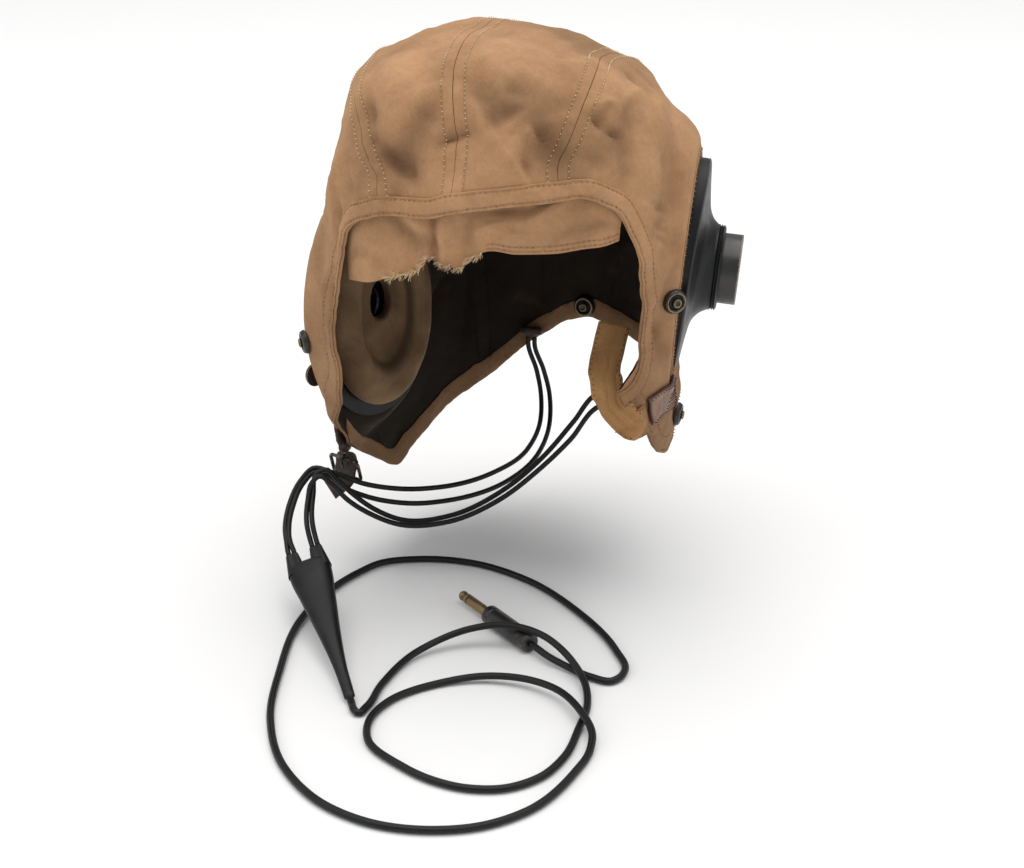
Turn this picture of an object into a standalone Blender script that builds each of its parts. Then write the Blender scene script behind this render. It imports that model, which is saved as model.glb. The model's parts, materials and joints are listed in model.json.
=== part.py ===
"""Summer flying helmet: cotton shell, rubber ear cups with telephone receivers, and their lead.

Metres, +Z up, the face opening toward -Y and the wearer's left toward +X. The origin is the inside
of the crown, where the helmet rests on a head. The cloth hangs askew, as an empty helmet does: the
wearer's right side hangs lower than the left, so the two sides have sizes of their own.
"""
import math

import bmesh
import bpy
import numpy as np
from mathutils import Matrix, Vector
from mathutils.bvhtree import BVHTree

OBJECT_NAME = "flying_helmet"

# Clearances
GAP = 0.0003
TINY = 0.00001

# Cotton shell: level sections under the crown, each with a reach to the left, right, front and back
SHELL_HEIGHT = 0.285
SHELL_HALF_WIDTH = 0.110
SHELL_FRONT = 0.113
SHELL_BACK = 0.114
SHELL_POWER = 2.35
CLOTH = 0.0016
DROP_SHARES = (0, 0.009, 0.037, 0.088, 0.172, 0.288, 0.41, 0.533, 0.667, 0.825, 1)
LEFT_WIDTH_SHARES = (0, 0.25, 0.48, 0.73, 0.865, 0.935, 0.964, 0.936, 0.93, 0.91, 0.86)
RIGHT_WIDTH_SHARES = (0, 0.29, 0.54, 0.73, 0.80, 0.85, 0.92, 0.99, 1.0, 0.92, 0.84)
FRONT_SHARES = (0, 0.32, 0.58, 0.78, 0.9, 0.98, 0.96, 0.89, 0.84, 0.79, 0.75)
BACK_SHARES = (0, 0.25, 0.5, 0.72, 0.88, 0.97, 1, 0.99, 0.965, 0.91, 0.86)
# Main folds of the crown: degrees from the brow, run from the crown, spread, and depth of the fold
FOLD_TURNS = (24, -15, 34, 20, -38, 135, -122)
FOLD_RUN_SHARES = (0.33, 0.40, 0.45, 0.42, 0.47, 0.28, 0.72)
FOLD_SPREAD_SHARES = (0.07, 0.05, 0.05, 0.055, 0.05, 0.22, 0.33)
FOLD_DEPTHS = (-0.005, -0.004, -0.004, 0.0035, -0.003, -0.007, -0.024)
FOLD_CENTRE = -0.1000

# Hem of the shell from the brow to the nape, in degrees from the brow and shares of the height
LEFT_HEM_TURNS = (0, 8, 19, 30, 37.5, 42.5, 48, 51.5, 53, 55.5, 57.5, 60, 60.5, 60.5, 58.5, 56, 51.5, 57,
                  66, 76, 89, 106, 126, 146, 161, 166, 170, 176, 180)
LEFT_HEM_SHARES = (0.275, 0.265, 0.255, 0.25, 0.25, 0.265, 0.29, 0.335, 0.355, 0.4, 0.455, 0.52, 0.56,
                   0.595, 0.625, 0.645, 0.66, 0.695, 0.765, 0.835, 0.865, 0.845, 0.8, 0.755, 0.735, 0.73,
                   0.735, 0.75, 0.77)
RIGHT_HEM_TURNS = (0, 5, 14.5, 21, 27, 32.5, 37.5, 39.5, 41.5, 44.5, 47, 47.5, 47.5, 49, 52, 59, 66, 74, 91,
                   100.5, 112, 120.5, 128.5, 140, 155.5, 164, 173, 180)
RIGHT_HEM_SHARES = (0.275, 0.285, 0.29, 0.295, 0.31, 0.325, 0.355, 0.39, 0.455, 0.5, 0.565, 0.605, 0.64,
                    0.685, 0.73, 0.79, 0.84, 0.89, 0.965, 1.01, 1.055, 1.035, 1.01, 0.96, 0.895, 0.85, 0.8,
                    0.77)
# Places in those lists: where the side seam starts, the flap's front corner, and where the seam ends
LEFT_SEAM_START, LEFT_CORNER, LEFT_SEAM_END = 3, 16, 24
RIGHT_SEAM_START, RIGHT_CORNER, RIGHT_SEAM_END = 3, 16, 24
# Seams over the crown, as places on the shell's flat pattern
CENTRE_SEAM_SHARES = ((0.004, -0.4), (-0.017, -0.293), (-0.033, -0.181), (-0.037, -0.046), (-0.02, 0.15),
                      (0, 0.45))
LEFT_SEAM_SHARES = ((0.216, -0.372), (0.211, -0.306), (0.204, -0.219), (0.214, -0.03), (0.235, 0.2),
                    (0.258, 0.5))
RIGHT_SEAM_SHARES = ((0.19, -0.41), (0.215, -0.372), (0.24, -0.261), (0.262, -0.1), (0.27, 0.1),
                     (0.28, 0.35), (0.32, 0.6))
SEAM_GAP = 0.0004
TAPE_WIDTH = 0.012
TAPE_THICKNESS = 0.0008
FACING_WIDTH = 0.012
FACING_THICKNESS = 0.0010
FACING_GAP = 0.0009

# Face binding and the torn sweatband under it
BINDING_WIDTH = 0.0105
BINDING_THICKNESS = 0.0011
BINDING_GAP = 0.0012
SWEATBAND_TURNS = (-42, -36, -31, -23, -16, -13, -10.5, -6.5, -1.5, 2.5, 5, 8, 18, 29.5, 38, 44.5, 50)
SWEATBAND_TOPS = (0.36, 0.315, 0.285, 0.265, 0.26, 0.255, 0.255, 0.25, 0.245, 0.24, 0.235, 0.235, 0.225,
                  0.22, 0.225, 0.255, 0.3)
SWEATBAND_SHARES = (0.46, 0.455, 0.45, 0.43, 0.415, 0.41, 0.39, 0.375, 0.39, 0.385, 0.37, 0.355, 0.355,
                    0.355, 0.35, 0.35, 0.345)
SWEATBAND_THICKNESS = 0.0010
SWEATBAND_GAP = 0.0024
SWEATBAND_SLANT = 0.003

# Rubber ear cups: an oval rim under the cloth that rises to a round neck
CUP_STEPS = 26
CUP_HALF_HEIGHT = 0.0625
CUP_HALF_WIDTH = 0.0425
CUP_FLANGE = 0.0060
CUP_FLANGE_IN = 0.0055
CUP_FLANGE_THICKNESS = 0.0025
CUP_WALL = 0.0024
CUP_RIM = 0.0040
CUP_RIM_SLOPE = 0.0027
CUP_ROUNDING = 0.0012
CUP_RISE_SHARES = ((0.08, 0.1), (0.3, 0.17), (0.58, 0.27), (0.78, 0.38), (0.92, 0.62))
CUP_INNER_RISES = (4, 2, 1, 0)
NECK_HEIGHT = 0.0168
NECK_RADIUS = 0.0248
NECK_TOP = 0.0206
NECK_DEPTH = 0.0078
NECK_ROUNDING = 0.0010
CUP_SEAT_GAP = 0.0009
EAR_HOLE_GAP = 0.0006
# Each ear: how far out, back and down its cup sits, and how it is turned back and tipped
LEFT_EAR_OUT, LEFT_EAR_BACK, LEFT_EAR_HEIGHT = 0.1025, 0.017, -0.1350
LEFT_EAR_YAW, LEFT_EAR_TIP = math.radians(6), math.radians(4.5)
RIGHT_EAR_OUT, RIGHT_EAR_BACK, RIGHT_EAR_HEIGHT = 0.0857, -0.004, -0.1708
RIGHT_EAR_YAW, RIGHT_EAR_TIP = math.radians(28), math.radians(3)
EAR_FLAT = 0.0075
EAR_EASE_SHARE = 1.35
EAR_FRONT_EASE_SHARE = 1.13

# Ear pads, chamois over felt: an oval cushion with a crown, a drawn-in edge and a dished hole
PAD_STEPS = 26
PAD_HALF_HEIGHT = 0.0605
PAD_HALF_WIDTH = 0.0405
PAD_SIDE = 0.0075
PAD_EDGE = 0.0030
PAD_SHOULDER = 0.0108
PAD_CROWN = 0.0148
PAD_CROWN_IN = 0.0100
PAD_DISH_HALF_HEIGHT = 0.0360
PAD_DISH_HALF_WIDTH = 0.0200
PAD_DISH_TOP = 0.0118
PAD_DISH_FLOOR = 0.0060
PAD_DISH_ROUND = 0.0040
PAD_HOLE_RADIUS = 0.0100
PAD_HOLE_LIFT = 0.0030

# Telephone receivers, along their axis outward from the middle of the cup's rim
RECEIVER_STEPS = 24
RECEIVER_RADIUS = 0.0203
RECEIVER_FACE = 0.0312
RECEIVER_MOUTH = 0.0079
RECEIVER_INNER_END = 0.0284
RECEIVER_WALL = 0.0024
RECEIVER_LIP = 0.0012
FACE_RING_RADIUS = 0.0150
FACE_RING_WIDTH = 0.0010
FACE_RING_DEPTH = 0.0005
CAP_THICKNESS = 0.0034
CAP_DISH_RADIUS = 0.0130
CAP_DISH = 0.0010
CAP_HOLE_RADIUS = 0.0014
CAP_HOLE_CIRCLE = 0.0062
CAP_HOLES = 6
DIAPHRAGM_RADIUS = 0.0186
DIAPHRAGM_THICKNESS = 0.0004
DIAPHRAGM_RECESS = 0.0010
MAGNET_RADIUS = 0.0150
MAGNET_THICKNESS = 0.0060
POLE_LENGTH, POLE_WIDTH, POLE_HEIGHT = 0.0070, 0.0030, 0.0125
POLE_SPREAD = 0.0100
COIL_WALL = 0.0022
COIL_HEIGHT = 0.0080
COIL_PLATE = 0.0010
COIL_PLATE_EDGE = 0.0006

# Snap studs
STUD_STEPS = 16
STUD_FOOT_RADIUS = 0.0072
STUD_PROFILE = ((0, 0.0046), (0.0022, 0.0046), (0.0027, 0.0042), (0.0024, 0.0030), (0.0027, 0.0020),
                (0.0036, 0.0020), (0.0045, 0.0026), (0.0052, 0.0026), (0.0058, 0.0014), (0.0068, 0.0014),
                (STUD_FOOT_RADIUS, 0.0009), (STUD_FOOT_RADIUS, 0), (0, 0))
SEAT_REACH = 0.0060
# Where the studs sit: name, degrees from the brow to the wearer's left, share of the height
STUDS = (("stud_left_upper", 70.5, 0.496), ("stud_left_lower", 100, 0.812), ("stud_right_upper", -60, 0.636),
         ("stud_right_lower", -64, 0.716))
NAPE_STUD_TURN, NAPE_STUD_SHARE = 168, 0.702

# Leather tab that carries the chin strap, on the left flap, as places on the shell from back to front
TAB_PLACES = ((92, 0.738), (82, 0.724), (72, 0.716), (64.5, 0.719))
TAB_STEPS = 12
TAB_WIDTH = 0.0180
TAB_THICKNESS = 0.0022
TAB_GAP = 0.0006
# Chin strap, from the tab under the hem and up inside: its sewn end, then the part that swings.
# Its route is counted from the cloth under the tab's front end.
CHIN_ROUTE = ((0.0009, -0.0049, -0.0042), (-0.0031, -0.0129, -0.0052), (-0.0086, -0.0159, -0.0032),
              (-0.0146, -0.0144, 0.0018), (-0.0206, -0.0084, 0.0113), (-0.0236, -0.0004, 0.0223),
              (-0.0236, 0.0076, 0.0323), (-0.0226, 0.0156, 0.0413))
CHIN_ACROSS = ((0.15, -0.20, -0.95), (-0.10, -0.25, -0.95), (-0.35, -0.20, -0.85), (-0.65, -0.30, -0.65),
               (-0.92, -0.30, -0.25), (-1, -0.25, 0), (-1, -0.20, 0), (-1, -0.20, 0))
CHIN_END_SHARE = 0.30
CHIN_WIDTH = 0.0170
CHIN_THICKNESS = 0.0018
CHIN_LINING = 0.0014
CHIN_STEP = 0.0040

# Buckle strap on the outside of the right flap: its seat on the cloth, then where it and the buckle hang,
# counted from the last place of that seat
STRAP_SEAT_PLACES = ((-77, 0.852), (-77, 0.874), (-77, 0.896))
STRAP_LEAVES = (0.0015, -0.0008, -0.0054)
STRAP_END = (-0.0072, -0.0096, -0.0306)
STRAP_ACROSS = (0.92, -0.39, 0.07)
STRAP_TURN_SHARES = (0.2, 0.75)
STRAP_LIFT = 0.0012
STRAP_WIDTH = 0.0170
STRAP_THICKNESS = 0.0020
# Wire buckle round that strap: a tilted frame, one bar before the strap and one behind it, and a tongue
BUCKLE_MIDDLE = (0.0015, -0.0036, -0.0161)
BUCKLE_DOWN = (-0.12, -0.25, -0.96)
BUCKLE_WIDTH = 0.0230
BUCKLE_LENGTH = 0.0130
BUCKLE_WIRE = 0.0011
BUCKLE_CORNER_SHARE = 0.25
BUCKLE_TILT = math.radians(30)
STRAP_STRAIGHT_SHARE = 1.3
TONGUE_RADIUS = 0.0008
TONGUE_LENGTH = 0.0058
TONGUE_HOOK = math.radians(-45)
TONGUE_HOOK_STEPS = 6

# Keepers that hold the ends of the leads inside the hem
KEEPER_SIZE = (0.0150, 0.0050, 0.0070)
NAPE_KEEPER_TURN, NAPE_KEEPER_SHARE = -174, 0.776
LEFT_KEEPER_TURN, LEFT_KEEPER_SHARE = 92.5, 0.748
KEEPER_LIFT = 0.0010

# Lead: four single cords, the moulded fork, the long flat cord and its plug
FLOOR = -0.3330
LEAD_RADIUS = 0.00155
LEAD_SPACING = 0.0042
LEAD_STEP = 0.0095
# Routes of the single cords between the keepers and the fork, through the air under the helmet
LEAD_ROUTES = {
    "lead_right_outer": ((-0.0070, 0.0975, -0.2440), (-0.0035, 0.0945, -0.2570), (-0.0005, 0.0830, -0.2720),
                         (-0.0025, 0.0580, -0.2825), (-0.0150, 0.0230, -0.2850), (-0.0390, -0.0130, -0.2820),
                         (-0.0600, -0.0290, -0.2785), (-0.0800, -0.0360, -0.2745), (-0.1000, -0.0385, -0.2680),
                         (-0.1120, -0.0390, -0.2655), (-0.1180, -0.0455, -0.2710), (-0.1210, -0.0590, -0.2830),
                         (-0.1190, -0.0710, -0.2915), (-0.1135, -0.0830, -0.2975)),
    "lead_right_inner": ((-0.0025, 0.0980, -0.2430), (0.0020, 0.0955, -0.2570), (0.0055, 0.0840, -0.2730),
                         (0.0045, 0.0590, -0.2850), (-0.0080, 0.0240, -0.2915), (-0.0360, -0.0130, -0.2910),
                         (-0.0560, -0.0305, -0.2870), (-0.0780, -0.0370, -0.2825), (-0.0920, -0.0400, -0.2765),
                         (-0.1015, -0.0415, -0.2700), (-0.1085, -0.0430, -0.2675), (-0.1140, -0.0485, -0.2730),
                         (-0.1165, -0.0605, -0.2830), (-0.1150, -0.0715, -0.2900), (-0.1095, -0.0835, -0.2965)),
    "lead_left_outer": ((0.0870, 0.0030, -0.2225), (0.0740, 0.0010, -0.2190), (0.0570, -0.0010, -0.2225),
                        (0.0410, -0.0070, -0.2435), (0.0235, -0.0130, -0.2625), (0.0010, -0.0220, -0.2815),
                        (-0.0285, -0.0305, -0.2960), (-0.0570, -0.0420, -0.2960), (-0.0730, -0.0465, -0.2890),
                        (-0.0860, -0.0495, -0.2800), (-0.0960, -0.0510, -0.2695), (-0.1030, -0.0510, -0.2655),
                        (-0.1085, -0.0535, -0.2680), (-0.1080, -0.0600, -0.2765), (-0.0995, -0.0735, -0.2880)),
    "lead_left_inner": ((0.0870, 0.0080, -0.2205), (0.0730, 0.0060, -0.2150), (0.0540, 0.0050, -0.2175),
                        (0.0410, 0.0010, -0.2350), (0.0250, -0.0060, -0.2560), (0.0010, -0.0150, -0.2785),
                        (-0.0285, -0.0245, -0.2945), (-0.0565, -0.0365, -0.2955), (-0.0710, -0.0415, -0.2885),
                        (-0.0840, -0.0445, -0.2785), (-0.0940, -0.0455, -0.2690), (-0.1010, -0.0450, -0.2635),
                        (-0.1070, -0.0465, -0.2650), (-0.1050, -0.0540, -0.2755), (-0.0965, -0.0690, -0.2865)),
}
# Moulded fork: where its two arms meet, the way it runs, and its half sizes along that way
FORK_TOP = (-0.0945, -0.0965, -0.3015)
FORK_AXIS = (0.523, -0.813, -0.257)
FORK_ACROSS = (0.826, 0.492, 0.275)
FORK_RUNS = (-0.0040, 0.0050, 0.0300, 0.0600, 0.0850, 0.1105)
FORK_HALF_WIDTHS = (0.0115, 0.0125, 0.0100, 0.0062, 0.0038, 0.0030)
FORK_HALF_THICKNESSES = (0.0033, 0.0040, 0.0042, 0.0036, 0.0026, 0.0022)
FORK_STEPS = 16
FORK_SQUARENESS = 0.75
ARM_SPREAD = 0.0073
ARM_START = -0.0110
ARM_END = 0.0040
ARM_HALF_WIDTH = 0.0040
ARM_HALF_THICKNESS = 0.0022

# Flat cord from the fork over the floor to the plug: places on the floor and how high it is lifted there
CORD_RADIUS = 0.0021
CORD_STEP = 0.0190
CORD_TURN = math.radians(18)
CORD_ROUTE = (
    (-0.0320, -0.1945, 0.0006), (-0.0285, -0.1970, 0), (-0.0265, -0.1905, 0), (-0.0260, -0.1660, 0),
    (-0.0160, -0.1280, 0.0020), (0.0085, -0.1100, 0.0095), (0.0260, -0.1055, 0.0123), (0.0490, -0.1085, 0.0115),
    (0.0680, -0.1205, 0.0073), (0.0805, -0.1345, 0.0022), (0.0880, -0.1560, 0), (0.0890, -0.1800, 0),
    (0.0880, -0.2085, 0), (0.0805, -0.2295, 0), (0.0660, -0.2435, 0), (0.0475, -0.2485, 0), (0.0275, -0.2460, 0),
    (0.0090, -0.2380, 0), (-0.0145, -0.2205, 0), (-0.0205, -0.2000, 0), (-0.0165, -0.1810, 0),
    (0.0045, -0.1560, 0), (0.0275, -0.1455, 0.0020), (0.0530, -0.1455, 0.0036), (0.0690, -0.1520, 0.0044),
    (0.0865, -0.1690, 0.0045), (0.0980, -0.1875, 0.0020), (0.0995, -0.2005, 0), (0.0970, -0.2185, 0),
    (0.0810, -0.2605, 0), (0.0630, -0.2775, 0), (0.0420, -0.2865, 0), (0.0160, -0.2895, 0),
    (-0.0135, -0.2820, 0), (-0.0475, -0.2555, 0), (-0.0720, -0.2140, 0), (-0.0855, -0.1675, 0),
    (-0.0955, -0.1080, 0), (-0.0940, -0.0850, 0), (-0.0830, -0.0460, 0), (-0.0735, -0.0295, 0),
    (-0.0515, -0.0180, 0), (-0.0190, -0.0145, 0), (0.0185, -0.0265, 0), (0.0585, -0.0570, 0),
    (0.0905, -0.0955, 0), (0.1000, -0.1155, 0), (0.0990, -0.1235, 0), (0.0950, -0.1290, 0),
    (0.0830, -0.1275, 0), (0.0660, -0.1210, 0.0012), (0.0550, -0.1160, 0.0027))

# Two-pole plug, along its axis from the front face of its body
PLUG_FRONT = (0.0107, -0.0802)
PLUG_WAY = (-0.768, 0.640)
PLUG_STEPS = 20
PLUG_RADIUS = 0.0058
PLUG_LENGTH = 0.0430
PLUG_ROUNDING = 0.0012
PLUG_GROOVE_PLACES = (0.0060, 0.0360)
PLUG_GROOVE_WIDTH, PLUG_GROOVE_DEPTH = 0.0012, 0.0005
SHAFT_RADIUS = 0.0031
SLEEVE_LENGTH = 0.0185
RING_LENGTH = 0.0014
TIP_PROFILE = ((0, 0.0090), (0.0010, 0.0088), (0.0023, 0.0074), (0.0031, 0.0058), (0.0030, 0.0050),
               (0.0021, 0.0036), (0.0026, 0.0022), (0.0031, 0.0018), (0.0031, 0), (0, 0))

MATERIALS = {
    "tan_cotton": ((0.48, 0.27, 0.14), 0.9, 0.0),
    "cotton_lining": ((0.16, 0.10, 0.06), 0.95, 0.0),
    "black_rubber": ((0.022, 0.024, 0.026), 0.55, 0.0),
    "black_plastic": ((0.014, 0.014, 0.015), 0.35, 0.0),
    "chamois": ((0.38, 0.24, 0.10), 0.9, 0.0),
    "brown_leather": ((0.11, 0.055, 0.035), 0.55, 0.0),
    "dark_steel": ((0.05, 0.05, 0.05), 0.4, 1.0),
    "dull_brass": ((0.22, 0.15, 0.09), 0.45, 1.0),
    "copper_wire": ((0.50, 0.20, 0.09), 0.4, 1.0),
}

parts = bpy.data.collections.new(OBJECT_NAME)
cutters = bpy.data.collections.new("cutters")


def clear_scene():
    """Empty the scene and link the two collections."""
    for item in list(bpy.data.objects):
        bpy.data.objects.remove(item)
    bpy.context.scene.collection.children.link(parts)
    bpy.context.scene.collection.children.link(cutters)


def material(name):
    """The named material, made the first time it is asked for."""
    if name in bpy.data.materials:
        return bpy.data.materials[name]
    colour, roughness, metallic = MATERIALS[name]
    made = bpy.data.materials.new(name)
    made.use_nodes = True
    shader = made.node_tree.nodes["Principled BSDF"]
    shader.inputs["Base Color"].default_value = (*colour, 1)
    shader.inputs["Roughness"].default_value = roughness
    shader.inputs["Metallic"].default_value = metallic
    return made


def add_object(name, data, look, frame=None):
    """Put a mesh or curve in the part's collection as one named sub-part."""
    made = bpy.data.objects.new(name, data)
    data.materials.append(material(look))
    parts.objects.link(made)
    if frame is not None:
        made.matrix_world = frame
    return made


def mesh_from(name, verts, faces, smooth=True):
    """A mesh with its faces turned outward and smooth shading up to a sharp angle."""
    mesh = bpy.data.meshes.new(name)
    mesh.from_pydata([tuple(vert) for vert in verts], [], faces)
    work = bmesh.new()
    work.from_mesh(mesh)
    bmesh.ops.recalc_face_normals(work, faces=work.faces)
    work.to_mesh(mesh)
    work.free()
    if smooth:
        mesh.shade_smooth()
        mesh.set_sharp_from_angle(angle=math.radians(40))
    return mesh


def closed_sheet(name, look, outer, inner, ring=False, origin=None):
    """A closed solid between two grids of points; ring joins the last row to the first."""
    rows, cols = outer.shape[:2]
    verts = np.concatenate([outer.reshape(-1, 3), inner.reshape(-1, 3)])
    if origin is not None:
        verts = verts - np.array(origin)

    def at(row, col, layer):
        return layer * rows * cols + (row % rows) * cols + col

    faces = []
    for row in range(rows if ring else rows - 1):
        for col in range(cols - 1):
            faces.append([at(row, col, 0), at(row + 1, col, 0), at(row + 1, col + 1, 0), at(row, col + 1, 0)])
            faces.append([at(row, col, 1), at(row, col + 1, 1), at(row + 1, col + 1, 1), at(row + 1, col, 1)])
        for col in (0, cols - 1):
            faces.append([at(row, col, 0), at(row, col, 1), at(row + 1, col, 1), at(row + 1, col, 0)])
    for row in () if ring else (0, rows - 1):
        for col in range(cols - 1):
            faces.append([at(row, col, 0), at(row, col + 1, 0), at(row, col + 1, 1), at(row, col, 1)])
    frame = Matrix.Translation(origin) if origin is not None else None
    return add_object(name, mesh_from(name, verts, faces), look, frame)


def skin(name, look, sections, loop=False, frame=None):
    """A closed solid through sections of equal length, joined end to end or capped."""
    count, size = len(sections), len(sections[0])
    verts = [point for section in sections for point in section]
    faces = []
    for row in range(count if loop else count - 1):
        upper = ((row + 1) % count) * size
        for col in range(size):
            after = (col + 1) % size
            faces.append([row * size + col, row * size + after, upper + after, upper + col])
    if not loop:
        faces.append(list(range(size)))
        faces.append(list(range((count - 1) * size, count * size)))
    return add_object(name, mesh_from(name, verts, faces), look, frame)


def turned(name, look, profile, frame, steps=24, loop=False):
    """A turned piece: the profile runs down its outer side at +X and is spun about +Z."""
    mesh = bpy.data.meshes.new(name)
    edges = [(i, i + 1) for i in range(len(profile) - 1)]
    if loop:
        edges.append((len(profile) - 1, 0))
    mesh.from_pydata([(radius, 0, height) for radius, height in profile], edges, [])
    made = add_object(name, mesh, look, frame)
    spin = made.modifiers.new("spin", "SCREW")
    spin.steps = spin.render_steps = steps
    spin.use_merge_vertices = True
    spin.merge_threshold = TINY
    spin.use_smooth_shade = False
    return made


def tube(name, look, points, radius, resolution=2):
    """A round cord or wire along points, with filled ends."""
    curve = bpy.data.curves.new(name, "CURVE")
    curve.dimensions = "3D"
    curve.bevel_depth = radius
    curve.bevel_resolution = resolution
    curve.use_fill_caps = True
    line = curve.splines.new("POLY")
    line.points.add(len(points) - 1)
    for place, point in zip(line.points, points):
        place.co = (*point, 1)
    return add_object(name, curve, look)


def combine(made, tool, operation="DIFFERENCE"):
    """Cut or join a second object into the first; the second becomes a hidden cutter."""
    step = made.modifiers.new(tool.name, "BOOLEAN")
    step.operation = operation
    step.solver = "EXACT"
    step.object = tool
    for holder in list(tool.users_collection):
        holder.objects.unlink(tool)
    cutters.objects.link(tool)
    tool.hide_render = True
    tool.display_type = "WIRE"


def hermite(knots, values, at, flat_start=False):
    """Smooth values between knots, run straight on past the last one."""
    knots, values, at = np.asarray(knots, float), np.asarray(values, float), np.asarray(at, float)
    slopes = np.gradient(values, knots, axis=0)
    if flat_start:
        slopes[0] = 0
    low = np.clip(np.searchsorted(knots, at, side="right") - 1, 0, len(knots) - 2)
    span = knots[low + 1] - knots[low]
    part = (np.clip(at, knots[0], knots[-1]) - knots[low]) / span
    if values.ndim > 1:
        part, span = part[..., None], span[..., None]
    held = ((1 + 2 * part) * values[low] + span * part * slopes[low]) * (1 - part) ** 2
    reached = ((3 - 2 * part) * values[low + 1] - span * (1 - part) * slopes[low + 1]) * part ** 2
    past = np.maximum(at - knots[-1], 0)
    return held + reached + slopes[-1] * (past[..., None] if values.ndim > 1 else past)


def spline(points, first=0, last=None, shares=None, count=None, step=None):
    """Points at even shares of the length of a smooth curve through points[first] to points[last]."""
    points = np.asarray(points, float)
    last = len(points) - 1 if last is None else last
    knots = np.concatenate([[0], np.cumsum(np.linalg.norm(np.diff(points, axis=0), axis=1))])
    dense = hermite(knots, points, np.linspace(knots[first], knots[last], 40 * (last - first) + 1))
    run = np.concatenate([[0], np.cumsum(np.linalg.norm(np.diff(dense, axis=0), axis=1))])
    if shares is None:
        count = count or max(2, round(run[-1] / step))
        shares = np.linspace(0, 1, count + 1)
    return np.stack([np.interp(np.asarray(shares) * run[-1], run, column) for column in dense.T], axis=1)


def ear_frame(side, out, back, height, yaw, tip):
    """Axes of an ear: +X out of the cup, +Z up, at the middle of its hole in the cloth."""
    heading = yaw if side > 0 else math.pi - yaw
    turn = Matrix.Rotation(heading, 4, "Z") @ Matrix.Rotation(tip, 4, "Y")
    return Matrix.Translation((side * out, back, height)) @ turn


EARS = {
    1: ear_frame(1, LEFT_EAR_OUT, LEFT_EAR_BACK, LEFT_EAR_HEIGHT, LEFT_EAR_YAW, LEFT_EAR_TIP),
    -1: ear_frame(-1, RIGHT_EAR_OUT, RIGHT_EAR_BACK, RIGHT_EAR_HEIGHT, RIGHT_EAR_YAW, RIGHT_EAR_TIP),
}
SIDE_NAMES = {1: "left", -1: "right"}
LEVELS = np.linspace(0, 1, len(DROP_SHARES))
FINE_RUNS = np.linspace(0, 1.1, 221)
FINE_DROPS = hermite(LEVELS, DROP_SHARES, FINE_RUNS, flat_start=True)


def ear_coordinates(points, side):
    """Points in an ear's own axes."""
    frame = np.array(EARS[side])
    return (points - frame[:3, 3]) @ frame[:3, :3]


def settled(points, side):
    """The cloth lies flat on the rim of the ear cup and eases away from it."""
    frame = np.array(EARS[side])
    local = ear_coordinates(points, side)
    across = local[..., 1] / (CUP_HALF_WIDTH + EAR_FLAT)
    upward = local[..., 2] / (CUP_HALF_HEIGHT + EAR_FLAT)
    reach = np.maximum(np.hypot(across, upward), TINY)
    forward = np.clip(-side * across / reach, 0, 1)
    end = EAR_EASE_SHARE - (EAR_EASE_SHARE - EAR_FRONT_EASE_SHARE) * forward ** 2
    ease = np.clip((end - reach) / (end - 1), 0, 1)
    weight = ease ** 2 * (3 - 2 * ease) * (side * points[..., 0] > 0)
    return points - (local[..., 0] * weight)[..., None] * frame[:3, 0]


def shell_points(flat):
    """Places on the shell's flat pattern, turned about the crown and run down from it, in space."""
    flat = np.asarray(flat, float)
    turn = np.arctan2(flat[..., 0], -flat[..., 1])
    run = np.maximum(np.hypot(flat[..., 0], flat[..., 1]), TINY)
    widths = np.where(np.sin(turn) >= 0, hermite(LEVELS, LEFT_WIDTH_SHARES, run),
                      hermite(LEVELS, RIGHT_WIDTH_SHARES, run)) * SHELL_HALF_WIDTH
    depths = np.where(np.cos(turn) >= 0, hermite(LEVELS, FRONT_SHARES, run) * SHELL_FRONT,
                      hermite(LEVELS, BACK_SHARES, run) * SHELL_BACK)
    spread = (np.abs(np.sin(turn)) / widths) ** SHELL_POWER + (np.abs(np.cos(turn)) / depths) ** SHELL_POWER
    radius = spread ** (-1 / SHELL_POWER)
    fold = 0
    for degrees, away, width, depth in zip(FOLD_TURNS, FOLD_RUN_SHARES, FOLD_SPREAD_SHARES, FOLD_DEPTHS):
        angle = math.radians(degrees)
        offset = flat - away * np.array((math.sin(angle), -math.cos(angle)))
        fold = fold + depth * np.exp(-np.sum(offset ** 2, axis=-1) / width ** 2)
    drop = SHELL_HEIGHT * hermite(LEVELS, DROP_SHARES, run, flat_start=True)
    points = np.stack([radius * np.sin(turn), -radius * np.cos(turn), CLOTH - drop], axis=-1)
    outward = points - (0, 0, FOLD_CENTRE)
    points = points + outward / np.linalg.norm(outward, axis=-1, keepdims=True) * np.asarray(fold)[..., None]
    return settled(settled(points, 1), -1)


def shell_slopes(flat):
    """How the shell's points move along the two directions of its flat pattern."""
    nudge = 0.002
    ahead, aside = np.array((nudge, 0)), np.array((0, nudge))
    flat = np.asarray(flat, float)
    return ((shell_points(flat + ahead) - shell_points(flat - ahead)) / (2 * nudge),
            (shell_points(flat + aside) - shell_points(flat - aside)) / (2 * nudge))


def shell_normals(flat):
    """Outward directions of the shell at places on its flat pattern."""
    normal = np.cross(*shell_slopes(flat))
    return normal / np.linalg.norm(normal, axis=-1, keepdims=True)


def flat_place(degrees, share):
    """Place on the flat pattern from degrees off the brow, to the left, and share of the height."""
    run = np.interp(share, FINE_DROPS, FINE_RUNS)
    angle = np.radians(degrees)
    return np.stack([run * np.sin(angle), -run * np.cos(angle)], axis=-1)


def flat_under(points):
    """Place on the flat pattern nearest below points in space."""
    degrees = np.degrees(np.arctan2(points[..., 0], -points[..., 1]))
    flat = flat_place(degrees, (CLOTH - points[..., 2]) / SHELL_HEIGHT)
    for _ in range(8):
        slopes = np.linalg.pinv(np.stack(shell_slopes(flat), axis=-1))
        flat = flat + (slopes @ (points - shell_points(flat))[..., None])[..., 0]
    return flat


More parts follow.
